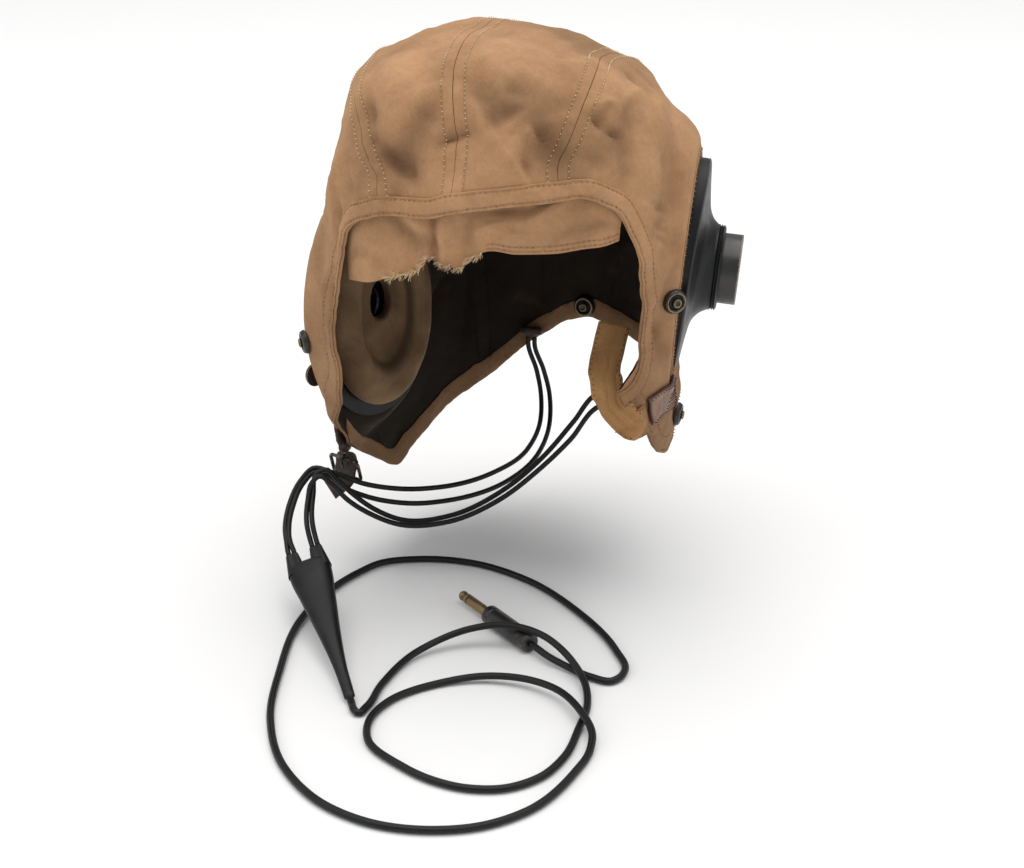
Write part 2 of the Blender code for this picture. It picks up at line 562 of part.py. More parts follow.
HEMS = {
    1: flat_place(np.array(LEFT_HEM_TURNS, float), np.array(LEFT_HEM_SHARES)),
    -1: flat_place(-np.array(RIGHT_HEM_TURNS, float), np.array(RIGHT_HEM_SHARES)),
}
SEAM_ENDS = {1: (LEFT_SEAM_START, LEFT_SEAM_END), -1: (RIGHT_SEAM_START, RIGHT_SEAM_END)}
SEAM_MIDDLES = {1: np.array(LEFT_SEAM_SHARES), -1: np.array(RIGHT_SEAM_SHARES) * (-1, 1)}
ROW_SHARES = np.linspace(0, 1, 21)
COLUMN_SHARES = np.array((0, 0.08, 0.25, 0.42, 0.58, 0.75, 0.92, 1))
MIDDLE_SHARES = (0.25, 0.5, 0.75)
FACE_STEPS, NECK_STEPS = 20, 20
HEM_STEPS = FACE_STEPS + NECK_STEPS
BINDING_STEPS = 68
SEAM_GAP_SHARE = SEAM_GAP / SHELL_HEIGHT


def seam_line(side):
    """The side seam on the flat pattern, from the brow to the nape."""
    first, last = SEAM_ENDS[side]
    return spline([HEMS[side][first], *SEAM_MIDDLES[side], HEMS[side][last]], shares=ROW_SHARES)


def centre_line():
    """The centre seam on the flat pattern, from the brow to the nape."""
    return spline([HEMS[1][0], *CENTRE_SEAM_SHARES, HEMS[1][-1]], shares=ROW_SHARES)


def crown_grid(side):
    """Flat places of a crown panel: rows from brow to nape, columns from the centre to the seam."""
    first, last = SEAM_ENDS[side]
    away = np.array((side * SEAM_GAP_SHARE / 2, 0))
    centre, seam = centre_line() + away, seam_line(side) - away
    brow = spline(HEMS[side], 0, first, shares=COLUMN_SHARES)
    nape = spline(HEMS[side][::-1], 0, len(HEMS[side]) - 1 - last, shares=COLUMN_SHARES)
    brow, nape = brow + np.outer(1 - 2 * COLUMN_SHARES, away), nape + np.outer(1 - 2 * COLUMN_SHARES, away)
    u, v = COLUMN_SHARES[None, :, None], ROW_SHARES[:, None, None]
    across = (1 - u) * centre[:, None] + u * seam[:, None]
    along = (1 - v) * brow[None] + v * nape[None]
    corners = (1 - v) * ((1 - u) * centre[0] + u * seam[0]) + v * ((1 - u) * centre[-1] + u * seam[-1])
    return across + along - corners


def side_grid(side):
    """Points and normals of a side panel: rows round the ear hole, columns from the hole outward."""
    first, last = SEAM_ENDS[side]
    away = np.array((side * SEAM_GAP_SHARE / 2, 0))
    corner = LEFT_CORNER if side > 0 else RIGHT_CORNER
    hem = np.concatenate([spline(HEMS[side], first, corner, count=FACE_STEPS)[:-1],
                          spline(HEMS[side], corner, last, count=NECK_STEPS)])
    hem[0], hem[-1] = hem[0] + away, hem[-1] + away
    outline = np.concatenate([hem, (seam_line(side) + away)[-2:0:-1]])
    rim = shell_points(outline)
    local = ear_coordinates(rim, side)
    angle = np.arctan2(local[:, 1], local[:, 2])
    half_width, half_height = CUP_HALF_WIDTH + EAR_HOLE_GAP, CUP_HALF_HEIGHT + EAR_HOLE_GAP
    reach = 1 / np.hypot(np.sin(angle) / half_width, np.cos(angle) / half_height)
    frame = np.array(EARS[side])
    hole = np.stack([0 * reach, reach * np.sin(angle), reach * np.cos(angle)], axis=1)
    hole = hole @ frame[:3, :3].T + frame[:3, 3]
    hole_flat = flat_under(hole)
    missed = hole - shell_points(hole_flat)
    bands = np.full(len(outline), TAPE_WIDTH / 2)
    bands[:HEM_STEPS + 1] = FACING_WIDTH
    edge = np.roll(rim, -1, axis=0) - np.roll(rim, 1, axis=0)
    ray = hole - rim
    slant = np.linalg.norm(np.cross(edge, ray), axis=1) / np.linalg.norm(edge, axis=1)
    length = np.linalg.norm(ray, axis=1)
    inner = np.minimum((CUP_FLANGE + EAR_FLAT) / 2 / length, 0.5)
    band = 1 - np.minimum(bands / slant, 0.35)
    middle = [inner + (band - inner) * share for share in MIDDLE_SHARES]
    levels = np.stack([0 * inner, inner, *middle, band, 0 * inner + 1], axis=1)
    flat = hole_flat[:, None] * (1 - levels)[..., None] + outline[:, None] * levels[..., None]
    points = shell_points(flat) + missed[:, None] * ((1 - levels) ** 2)[..., None]
    return points, shell_normals(flat)


def shell():
    """The four cloth panels; returns their points and normals for what is sewn along them."""
    made = {}
    for side, label in SIDE_NAMES.items():
        flat = crown_grid(side)
        points, normals = shell_points(flat), shell_normals(flat)
        made["crown", side] = points, normals
        closed_sheet("crown_panel_" + label, "tan_cotton", points, points - normals * CLOTH)
        points, normals = side_grid(side)
        made["side", side] = points, normals
        closed_sheet("side_panel_" + label, "tan_cotton", points, points - normals * CLOTH, ring=True)
    return made


def inner_strip(name, look, points, normals, gap, thickness):
    """A strip sewn under the cloth, on grids of the cloth's own points."""
    top = points - normals * (CLOTH + gap)
    return closed_sheet(name, look, top, top - normals * thickness)


def seam_tapes(panels):
    """Cotton tapes under the centre seam and the two side seams."""
    rows = slice(2, -2)
    halves = [panels["crown", side] for side in (1, -1)]
    stack = [np.stack([halves[0][k][rows, 1], (halves[0][k][rows, 0] + halves[1][k][rows, 0]) / 2,
                       halves[1][k][rows, 1]], axis=1) for k in (0, 1)]
    inner_strip("seam_tape_centre", "cotton_lining", *stack, GAP, TAPE_THICKNESS)
    for side, label in SIDE_NAMES.items():
        crown, edge = panels["crown", side], panels["side", side]
        stack = []
        for k in (0, 1):
            beside = np.concatenate([edge[k][:1], edge[k][:HEM_STEPS - 1:-1]])
            stack.append(np.stack([crown[k][rows, -2], (crown[k][rows, -1] + beside[rows, -1]) / 2,
                                   beside[rows, -2]], axis=1))
        inner_strip("seam_tape_" + label, "cotton_lining", *stack, GAP, TAPE_THICKNESS)


def neck_facing(panels):
    """The turned band inside the neck hem, from one flap's tip round the nape to the other's."""
    strips = []
    napes = {side: np.linalg.norm(panels["crown", side][0][-1] - panels["crown", side][0][-2], axis=-1)
             for side in SIDE_NAMES}
    for k in (0, 1):
        left, right = panels["side", 1][k], panels["side", -1][k]
        edges = {}
        for side in SIDE_NAMES:
            last, above = panels["crown", side][k][-1], panels["crown", side][k][-2]
            share = (FACING_WIDTH / napes[side])[:, None]
            edges[side] = np.stack([last, last + (above - last) * share], axis=1)
        strips.append(np.concatenate([
            left[FACE_STEPS + 2:HEM_STEPS, [-1, -2]], edges[1][:0:-1], (edges[1][:1] + edges[-1][:1]) / 2,
            edges[-1][1:], right[FACE_STEPS + 2:HEM_STEPS, [-1, -2]][::-1],
        ]))
    inner_strip("neck_facing", "cotton_lining", *strips, FACING_GAP, FACING_THICKNESS)


def outer_band(name, look, flat, offsets, gap, thickness):
    """A strip on the outside of the shell along flat places, at offsets to its right hand."""
    points, normals = shell_points(flat), shell_normals(flat)
    along = np.gradient(points, axis=0)
    across = np.cross(normals, along)
    across /= np.linalg.norm(across, axis=1, keepdims=True)
    slopes = np.stack(shell_slopes(flat), axis=-1)
    move = np.stack([np.linalg.lstsq(slope, side, rcond=None)[0] for slope, side in zip(slopes, across)])
    grid = flat[:, None] - move[:, None] * np.asarray(offsets)[None, :, None]
    base = shell_points(grid) + shell_normals(grid) * gap
    return closed_sheet(name, look, base + shell_normals(grid) * thickness, base)


def face_binding():
    """The double-stitched binding round the face opening, from flap to flap over the brow."""
    hem = np.concatenate([HEMS[1][LEFT_CORNER:0:-1], HEMS[-1][:RIGHT_CORNER + 1]])
    line = spline(hem, count=BINDING_STEPS)
    outer_band("face_binding", "tan_cotton", line, (0, BINDING_WIDTH / 2, BINDING_WIDTH), BINDING_GAP,
               BINDING_THICKNESS)


def sweatband():
    """The torn band that hangs inside the brow, its upper edge tucked behind the binding."""
    turns = np.array(SWEATBAND_TURNS, float)
    top, bottom = np.array(SWEATBAND_TOPS), np.array(SWEATBAND_SHARES)
    down = np.linspace(0, 1, 5)
    shares = top[:, None] * (1 - down) + bottom[:, None] * down
    flat = flat_place(np.repeat(turns[:, None], len(down), axis=1), shares)
    normals = shell_normals(flat)
    face = shell_points(flat) - normals * (CLOTH + SWEATBAND_GAP + SWEATBAND_SLANT * down[None, :, None])
    closed_sheet("sweatband", "tan_cotton", face, face - normals * SWEATBAND_THICKNESS)


def oval(half_height, half_width, out, slope=0, steps=CUP_STEPS, lift=0):
    """A closed oval round an ear's axis, at a distance out that leans with the slope."""
    turns = [math.tau * step / steps for step in range(steps)]
    return [(out + slope * math.cos(turn), half_width * math.sin(turn), half_height * math.cos(turn) + lift)
            for turn in turns]


def ear_cup(side):
    """Moulded rubber cup: a flange under the cloth, an oval wall and a neck that grips the receiver."""
    face = -CLOTH - CUP_SEAT_GAP
    back = face - CUP_FLANGE_THICKNESS
    height, width = CUP_HALF_HEIGHT, CUP_HALF_WIDTH
    bore = RECEIVER_RADIUS + GAP

    def rise(index, inset):
        toward, up = CUP_RISE_SHARES[index]
        out = CUP_RIM + (NECK_HEIGHT - CUP_RIM) * up - inset
        return oval(height + (NECK_RADIUS - height) * toward - inset, width + (NECK_RADIUS - width) * toward - inset,
                    out, CUP_RIM_SLOPE * (1 - up))

    def neck(radius, out):
        return oval(radius, radius, out)

    sections = [oval(height + CUP_FLANGE, width + CUP_FLANGE, face), oval(height, width, face),
                oval(height, width, CUP_RIM - CUP_ROUNDING, CUP_RIM_SLOPE)]
    sections += [rise(index, 0) for index in range(len(CUP_RISE_SHARES))]
    sections += [neck(NECK_RADIUS, NECK_HEIGHT), neck(NECK_RADIUS, NECK_TOP - NECK_ROUNDING),
                 neck(NECK_RADIUS - NECK_ROUNDING, NECK_TOP), neck(bore + NECK_ROUNDING, NECK_TOP),
                 neck(bore, NECK_TOP - NECK_ROUNDING), neck(bore, NECK_TOP - NECK_DEPTH)]
    sections += [rise(index, CUP_WALL) for index in CUP_INNER_RISES]
    sections += [oval(height - CUP_WALL, width - CUP_WALL, face),
                 oval(height - CUP_FLANGE_IN, width - CUP_FLANGE_IN, face),
                 oval(height - CUP_FLANGE_IN, width - CUP_FLANGE_IN, back),
                 oval(height + CUP_FLANGE, width + CUP_FLANGE, back)]
    return skin("ear_cup_" + SIDE_NAMES[side], "black_rubber", sections, loop=True, frame=EARS[side])


def ear_pad(side):
    """Soft pad on the cup's inner face, dished round the hole that lets the sound through."""
    seat = -CLOTH - CUP_SEAT_GAP - CUP_FLANGE_THICKNESS - GAP
    height, width = PAD_HALF_HEIGHT, PAD_HALF_WIDTH
    dish_height, dish_width = PAD_DISH_HALF_HEIGHT, PAD_DISH_HALF_WIDTH
    hole, lift, edge, turn = PAD_HOLE_RADIUS, PAD_HOLE_LIFT, PAD_EDGE, PAD_DISH_ROUND

    def ring(half_height, half_width, depth, raised=0):
        return oval(half_height, half_width, seat - depth, steps=PAD_STEPS, lift=raised)

    sections = [ring(hole, hole, 0, lift), ring(height - edge, width - edge, 0), ring(height, width, edge),
                ring(height, width, PAD_SIDE), ring(height - edge, width - edge, PAD_SHOULDER),
                ring(height - PAD_CROWN_IN, width - PAD_CROWN_IN, PAD_CROWN),
                ring(dish_height + turn, dish_width + turn, PAD_CROWN), ring(dish_height, dish_width, PAD_DISH_TOP),
                ring(dish_height - turn, dish_width - turn, PAD_DISH_FLOOR), ring(hole, hole, PAD_DISH_FLOOR, lift)]
    return skin("ear_pad_" + SIDE_NAMES[side], "chamois", sections, loop=True, frame=EARS[side])


def box(name, look, size, centre, frame=None):
    """A plain block with sides along its own axes."""
    corners = [(0.5, 0.5), (-0.5, 0.5), (-0.5, -0.5), (0.5, -0.5)]
    sections = [[(centre[0] + size[0] * x, centre[1] + size[1] * y, centre[2] + size[2] * z) for x, y in corners]
                for z in (-0.5, 0.5)]
    return skin(name, look, sections, frame=frame)


def drill(name, places, radius, low, high, frame, sides=8):
    """Round cutters at places across an axis, as one object."""
    verts, faces = [], []
    turns = [math.tau * side / sides for side in range(sides)]
    for across, beside in places:
        first = len(verts)
        for height in (low, high):
            verts += [(across + radius * math.cos(turn), beside + radius * math.sin(turn), height) for turn in turns]
        faces.append(list(range(first, first + sides)))
        faces.append(list(range(first + sides, first + 2 * sides)))
        faces += [[first + side, first + (side + 1) % sides, first + sides + (side + 1) % sides,
                   first + sides + side] for side in range(sides)]
    return add_object(name, mesh_from(name, verts, faces), "black_plastic", frame)


def receiver(side):
    """Telephone receiver in the cup's neck: case, pierced cap, diaphragm, magnet with poles, and coils."""
    label = SIDE_NAMES[side]
    frame = EARS[side] @ Matrix.Rotation(math.pi / 2, 4, "Y")
    face, mouth, radius, lip = RECEIVER_FACE, RECEIVER_MOUTH, RECEIVER_RADIUS, RECEIVER_LIP
    bore, recess = RECEIVER_RADIUS - RECEIVER_WALL, DIAPHRAGM_RADIUS + GAP
    ring, half = FACE_RING_RADIUS, FACE_RING_WIDTH / 2
    turned("receiver_case_" + label, "black_plastic",
           [(0, face), (ring - half, face), (ring, face - FACE_RING_DEPTH), (ring + half, face), (radius - lip, face),
            (radius, face - lip), (radius, mouth), (recess, mouth), (recess, mouth + DIAPHRAGM_RECESS),
            (bore, mouth + DIAPHRAGM_RECESS), (bore, RECEIVER_INNER_END), (0, RECEIVER_INNER_END)], frame,
           RECEIVER_STEPS)
    top = mouth - GAP
    bottom = top - CAP_THICKNESS
    cap = turned("receiver_cap_" + label, "black_plastic",
                 [(0, top), (radius - GAP, top), (radius - GAP, bottom + lip), (radius - GAP - lip, bottom),
                  (CAP_DISH_RADIUS, bottom), (CAP_DISH_RADIUS - CAP_DISH, bottom + CAP_DISH),
                  (0, bottom + CAP_DISH)], frame, RECEIVER_STEPS)
    turns = [math.tau * hole / CAP_HOLES for hole in range(CAP_HOLES)]
    places = [(0, 0)] + [(CAP_HOLE_CIRCLE * math.cos(turn), CAP_HOLE_CIRCLE * math.sin(turn)) for turn in turns]
    combine(cap, drill("cap_drill_" + label, places, CAP_HOLE_RADIUS, bottom - lip, top + lip, frame))
    low = mouth + GAP
    rim = DIAPHRAGM_RADIUS
    turned("diaphragm_" + label, "dark_steel",
           [(0, low + DIAPHRAGM_THICKNESS), (rim, low + DIAPHRAGM_THICKNESS), (rim, low), (0, low)], frame,
           RECEIVER_STEPS)
    seat = RECEIVER_INNER_END - GAP
    under = seat - MAGNET_THICKNESS
    magnet = turned("magnet_" + label, "dark_steel",
                    [(0, seat), (MAGNET_RADIUS, seat), (MAGNET_RADIUS, under), (0, under)], frame, RECEIVER_STEPS)
    plate = under - GAP
    block_height = COIL_HEIGHT + COIL_PLATE / 2
    block_size = (POLE_LENGTH + 2 * (GAP + COIL_WALL), POLE_WIDTH + 2 * (GAP + COIL_WALL), block_height)
    plate_size = (block_size[0] + COIL_PLATE_EDGE, POLE_SPREAD + block_size[1] + COIL_PLATE_EDGE, COIL_PLATE)
    coils = box("coils_" + label, "copper_wire", plate_size, (0, 0, plate - COIL_PLATE / 2), frame)
    for beside in (-POLE_SPREAD / 2, POLE_SPREAD / 2):
        mark = label + ("_upper" if beside > 0 else "_lower")
        pole_height = POLE_HEIGHT + MAGNET_THICKNESS / 2
        combine(magnet, box("pole_" + mark, "dark_steel", (POLE_LENGTH, POLE_WIDTH, pole_height),
                            (0, beside, under + MAGNET_THICKNESS / 2 - pole_height / 2), frame), "UNION")
        combine(coils, box("coil_block_" + mark, "copper_wire", block_size,
                           (0, beside, plate - COIL_PLATE / 2 - block_height / 2), frame), "UNION")
        combine(coils, box("coil_hole_" + mark, "copper_wire", (POLE_LENGTH + 2 * GAP, POLE_WIDTH + 2 * GAP,
                                                                4 * COIL_HEIGHT), (0, beside, plate), frame))


def seated(frame, cloth, radius):
    """Move a frame along its axis until a round foot of that radius clears the cloth by the gap."""
    tree = BVHTree.FromObject(cloth, bpy.context.evaluated_depsgraph_get())
    inward = -(frame.to_3x3() @ Vector((0, 0, 1)))
    highest = -SEAT_REACH
    for share in (0, 0.5, 1):
        for step in range(STUD_STEPS):
            turn = math.tau * step / STUD_STEPS
            start = Vector((radius * share * math.cos(turn), radius * share * math.sin(turn), SEAT_REACH))
            hit = tree.ray_cast(frame @ start, inward, 2 * SEAT_REACH)
            if hit[0] is not None:
                highest = max(highest, SEAT_REACH - hit[3])
    return frame @ Matrix.Translation((0, 0, highest + GAP))


def facing_frame(point, normal, upward=(0, 0, 1)):
    """Axes at a point: +Z along the normal, +Y as near upward as it can be."""
    normal = Vector(normal).normalized()
    across = Vector(upward).cross(normal).normalized()
    axes = Matrix((across, normal.cross(across), normal)).transposed().to_4x4()
    return Matrix.Translation(Vector(point)) @ axes


def cloth_frame(degrees, share):
    """Axes on the outside of the shell at a place, facing outward."""
    flat = flat_place(degrees, share)[None]
    return facing_frame(shell_points(flat)[0], shell_normals(flat)[0])


def inner_frame(degrees, share, lift):
    """Axes on the inside of the shell at a place, facing inward, lifted off what lines it there."""
    flat = flat_place(degrees, share)[None]
    point, normal = shell_points(flat)[0], shell_normals(flat)[0]
    return facing_frame(point - normal * (CLOTH + lift), -normal)


def studs():
    """Snap studs for goggles and mask on the flaps, and one inside the nape."""
    bpy.context.view_layer.update()
    for name, degrees, share in STUDS:
        cloth = parts.objects["side_panel_" + SIDE_NAMES[1 if degrees > 0 else -1]]
        turned(name, "dull_brass", STUD_PROFILE, seated(cloth_frame(degrees, share), cloth, STUD_FOOT_RADIUS),
               STUD_STEPS)
    frame = seated(inner_frame(NAPE_STUD_TURN, NAPE_STUD_SHARE, 0), parts.objects["neck_facing"], STUD_FOOT_RADIUS)
    turned("stud_nape", "dull_brass", STUD_PROFILE, frame, STUD_STEPS)


def chin_tab():
    """Leather tab stitched to the outside of the left flap."""
    places = np.array([flat_place(degrees, share) for degrees, share in TAB_PLACES])
    line = spline(places, count=TAB_STEPS)
    half = TAB_WIDTH / 2
    outer_band("chin_tab", "brown_leather", line, (-half, 0, half), TAB_GAP, TAB_THICKNESS)


def unit(vectors):
    """Vectors of length one."""
    vectors = np.asarray(vectors, float)
    return vectors / np.linalg.norm(vectors, axis=-1, keepdims=True)


def ribbon_grid(points, ways, width):
    """Rows of points across a flat strap, its width along the ways given, and the strap's normals."""
    along = unit(np.gradient(points, axis=0))
    ways = unit(ways - along * np.sum(ways * along, axis=1, keepdims=True))
    grid = points[:, None] + ways[:, None] * (np.array((-0.5, 0, 0.5)) * width)[None, :, None]
    return grid, np.cross(along, ways)[:, None]


def route_ways(route, across, points):
    """The directions across a strap at points along its route."""
    knots = np.concatenate([[0], np.cumsum(np.linalg.norm(np.diff(route, axis=0), axis=1))])
    runs = np.concatenate([[0], np.cumsum(np.linalg.norm(np.diff(points, axis=0), axis=1))])
    return hermite(knots / knots[-1], unit(across), runs / runs[-1])


def chin_strap():
    """Chin strap: a fixed end sewn to the tab, and the lined part that swings on it."""
    route = shell_points(flat_place(*TAB_PLACES[-1])[None]) + CHIN_ROUTE
    points = spline(route, step=CHIN_STEP)
    grid, normals = ribbon_grid(points, route_ways(route, CHIN_ACROSS, points), CHIN_WIDTH)
    cut = round(CHIN_END_SHARE * (len(points) - 1))
    closed_sheet("chin_strap_end", "tan_cotton", (grid + normals * CHIN_THICKNESS)[:cut + 1], grid[:cut + 1])
    pivot = tuple(points[cut])
    grid[cut] = grid[cut] + unit(points[cut + 1] - points[cut]) * GAP
    free, up = grid[cut:], normals[cut:]
    closed_sheet("chin_strap", "tan_cotton", free + up * CHIN_THICKNESS, free, origin=pivot)
    closed_sheet("chin_lining", "chamois", free - up * GAP, free - up * (GAP + CHIN_LINING), origin=pivot)


def strap_seat():
    """Where the buckle strap is sewn to the right flap, and the cloth's outward directions there."""
    flat = np.array([flat_place(degrees, share) for degrees, share in STRAP_SEAT_PLACES])
    normals = shell_normals(flat)
    return shell_points(flat) + normals * STRAP_LIFT, normals


def buckle_strap():
    """Leather strap sewn outside the right flap; it turns as it leaves the hem and hangs by the buckle."""
    seat, normals = strap_seat()
    seat_ways = unit(np.cross(normals, np.gradient(seat, axis=0)))
    middle, reach = seat[-1] + BUCKLE_MIDDLE, unit(BUCKLE_DOWN) * BUCKLE_LENGTH / 2
    points = np.array([*seat, seat[-1] + STRAP_LEAVES, middle - reach * STRAP_STRAIGHT_SHARE, middle - reach,
                       middle, middle + reach, seat[-1] + STRAP_END])
    first, second = STRAP_TURN_SHARES
    hung = unit(STRAP_ACROSS)
    ways = [*seat_ways, seat_ways[-1] * (1 - first) + hung * first, seat_ways[-1] * (1 - second) + hung * second,
            hung, hung, hung, hung]
    grid, normals = ribbon_grid(points, np.array(ways), STRAP_WIDTH)
    closed_sheet("buckle_strap", "brown_leather", grid + normals * STRAP_THICKNESS, grid)


def buckle():
    """Wire frame round the strap and the tongue that turns on its upper bar."""
    down = Vector(BUCKLE_DOWN).normalized()
    across = Vector(STRAP_ACROSS)
    across = (across - down * across.dot(down)).normalized()
    front = down.cross(across)
    centre = Vector(strap_seat()[0][-1]) + Vector(BUCKLE_MIDDLE) + front * (STRAP_THICKNESS / 2)
    axes = Matrix((across, down, across.cross(down))).transposed().to_4x4()
    frame = Matrix.Translation(centre) @ axes @ Matrix.Rotation(BUCKLE_TILT, 4, "X")
    half_width, half_length, corner = BUCKLE_WIDTH / 2, BUCKLE_LENGTH / 2, BUCKLE_LENGTH * BUCKLE_CORNER_SHARE
    outline = [(-half_width + corner, -half_length), (half_width - corner, -half_length),
               (half_width, corner - half_length), (half_width, half_length - corner),
               (half_width - corner, half_length), (corner - half_width, half_length),
               (-half_width, half_length - corner), (-half_width, corner - half_length)]
    wire = tube("buckle_frame", "dark_steel", [(x, y, 0) for x, y in outline], BUCKLE_WIRE)
    wire.data.splines[0].use_cyclic_u = True
    wire.matrix_world = frame
    eye = BUCKLE_WIRE + GAP + TONGUE_RADIUS
    turns = [TONGUE_HOOK + (math.pi / 2 - TONGUE_HOOK) * step / TONGUE_HOOK_STEPS
             for step in range(TONGUE_HOOK_STEPS + 1)]
    line = [(0, -eye * math.cos(turn), -eye * math.sin(turn)) for turn in turns] + [(0, TONGUE_LENGTH, -eye)]
    tongue = tube("buckle_tongue", "dark_steel", line, TONGUE_RADIUS)
    tongue.matrix_world = frame @ Matrix.Translation((0, -half_length, 0))


def keeper_frames():
    """Axes of the two keepers, at their middles: +Z inward off the cloth, +Y up."""
    reach = KEEPER_SIZE[2] / 2
    nape = inner_frame(NAPE_KEEPER_TURN, NAPE_KEEPER_SHARE, FACING_GAP + FACING_THICKNESS + KEEPER_LIFT + reach)
    return {"keeper_nape": nape, "keeper_left": inner_frame(LEFT_KEEPER_TURN, LEFT_KEEPER_SHARE, KEEPER_LIFT + reach)}


def fork_axes():
    """The fork's direction and the direction across it."""
    way = Vector(FORK_AXIS).normalized()
    across = Vector(FORK_ACROSS)
    return way, (across - way * across.dot(way)).normalized()


def flat_section(centre, across, thick, half_width, half_thickness):
    """A squared oval of points round a centre."""
    section = []
    for step in range(FORK_STEPS):
        turn = math.tau * step / FORK_STEPS
        x, y = math.cos(turn), math.sin(turn)
        x, y = math.copysign(abs(x) ** FORK_SQUARENESS, x), math.copysign(abs(y) ** FORK_SQUARENESS, y)
        section.append(tuple(centre + across * (half_width * x) + thick * (half_thickness * y)))
    return section


def fork_mould():
    """Moulded fork that joins the two pairs of leads to the flat cord."""
    way, across = fork_axes()
    thick = way.cross(across)
    top = Vector(FORK_TOP)
    sections = [flat_section(top + way * run, across, thick, half_width, half_thickness)
                for run, half_width, half_thickness in zip(FORK_RUNS, FORK_HALF_WIDTHS, FORK_HALF_THICKNESSES)]
    mould = skin("fork_mould", "black_rubber", sections)
    for sign, label in ((-1, "outer"), (1, "inner")):
        arm = [flat_section(top + way * run + across * (sign * ARM_SPREAD), across, thick, ARM_HALF_WIDTH,
                            ARM_HALF_THICKNESS) for run in (ARM_START, ARM_END)]
        combine(mould, skin("fork_arm_" + label, "black_rubber", arm), "UNION")


def cord_line(start, away, route, before, end, step):
    """Points along a cord that leaves and arrives straight."""
    middle = spline([start, away, *route, before, end], 1, len(route) + 2, step=step)
    return [start, *middle, end]


def leads():
    """The four single cords from the keepers, over the strap's end, to the arms of the fork."""
    way, across = fork_axes()
    frames = keeper_frames()
    for name, route in LEAD_ROUTES.items():
        right, outer = "right" in name, "outer" in name
        keeper = frames["keeper_nape" if right else "keeper_left"]
        beside = LEAD_SPACING / 2 if outer != right else -LEAD_SPACING / 2
        under = -KEEPER_SIZE[1] / 2 - GAP
        start = keeper @ Vector((beside, under, 0))
        away = keeper @ Vector((beside, under - 2 * LEAD_RADIUS, 0))
        aside = (ARM_SPREAD if not right else -ARM_SPREAD) + (-LEAD_SPACING if outer else LEAD_SPACING) / 2
        end = Vector(FORK_TOP) + way * (ARM_START - GAP) + across * aside
        before = end - way * (2 * LEAD_RADIUS)
        points = cord_line(tuple(start), tuple(away), route, tuple(before), tuple(end), LEAD_STEP)
        tube(name, "black_rubber", points, LEAD_RADIUS)


def keepers():
    """Small leather keepers inside the hem that the leads come out of."""
    for name, frame in keeper_frames().items():
        box(name, "brown_leather", KEEPER_SIZE, (0, 0, 0), frame)


def plug_axes():
    """Axes of the plug: +Z toward its tip, at the front face of its body."""
    way = Vector((*PLUG_WAY, 0)).normalized()
    return facing_frame((*PLUG_FRONT, FLOOR + PLUG_RADIUS), way)


def main_cord():
    """The long cord: from the fork in two rounds over the floor to the back of the plug."""
    way, _ = fork_axes()
    start = Vector(FORK_TOP) + way * (FORK_RUNS[-1] + GAP)
    away = start + way * (2 * CORD_RADIUS)
    axes = plug_axes()
    end = axes @ Vector((0, 0, -PLUG_LENGTH - GAP))
    before = axes @ Vector((0, 0, -PLUG_LENGTH - 3 * CORD_RADIUS))
    route = [(x, y, FLOOR + CORD_RADIUS + lift) for x, y, lift in CORD_ROUTE]
    fine = cord_line(tuple(start), tuple(away), route, tuple(before), tuple(end), CORD_RADIUS / 2)
    kept = fine[:2]
    for point, ahead in zip(fine[2:-2], fine[3:-1]):
        gone = np.linalg.norm(point - kept[-1])
        turn = math.acos(min(1, float(unit(point - kept[-1]) @ unit(ahead - point))))
        if gone > CORD_STEP or (gone > 2 * CORD_RADIUS and turn > CORD_TURN / 2):
            kept.append(point)
    kept += fine[-2:]
    tube("main_cord", "black_rubber", kept, CORD_RADIUS)


def plug():
    """Two-pole telephone plug: body, sleeve, insulating ring and tip."""
    axes = plug_axes()
    radius, length, turn = PLUG_RADIUS, PLUG_LENGTH, PLUG_ROUNDING
    profile = [(0, 0), (radius - turn, 0), (radius, -turn)]
    for place in PLUG_GROOVE_PLACES:
        half, depth = PLUG_GROOVE_WIDTH / 2, PLUG_GROOVE_DEPTH
        profile += [(radius, half - place), (radius - depth, -place), (radius, -half - place)]
    profile += [(radius, turn - length), (radius - turn, -length), (0, -length)]
    turned("plug_body", "black_plastic", profile, axes, PLUG_STEPS)
    low, high = GAP, GAP + SLEEVE_LENGTH
    turned("plug_sleeve", "dull_brass", [(0, high), (SHAFT_RADIUS, high), (SHAFT_RADIUS, low), (0, low)], axes,
           PLUG_STEPS)
    low, high = high + GAP, high + GAP + RING_LENGTH
    turned("plug_ring", "black_plastic", [(0, high), (SHAFT_RADIUS, high), (SHAFT_RADIUS, low), (0, low)], axes,
           PLUG_STEPS)
    turned("plug_tip", "dull_brass", TIP_PROFILE, axes @ Matrix.Translation((0, 0, high + GAP)), PLUG_STEPS)


def build():
    """Make every piece."""
    clear_scene()
    panels = shell()
    seam_tapes(panels)
    neck_facing(panels)
    face_binding()
    sweatband()
    for side in SIDE_NAMES:
        ear_cup(side)
        ear_pad(side)
        receiver(side)
    studs()
    chin_tab()
    chin_strap()
    buckle_strap()
    buckle()
    keepers()
    leads()
    fork_mould()
    main_cord()
    plug()


build()
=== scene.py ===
"""The looks of a summer flying helmet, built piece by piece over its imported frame.

Metres, +Z up, the face opening toward -Y and the wearer's left toward +X, as in the frame.
"""
import json
import math

import bmesh
import bpy
import numpy as np
from mathutils import Matrix, Vector

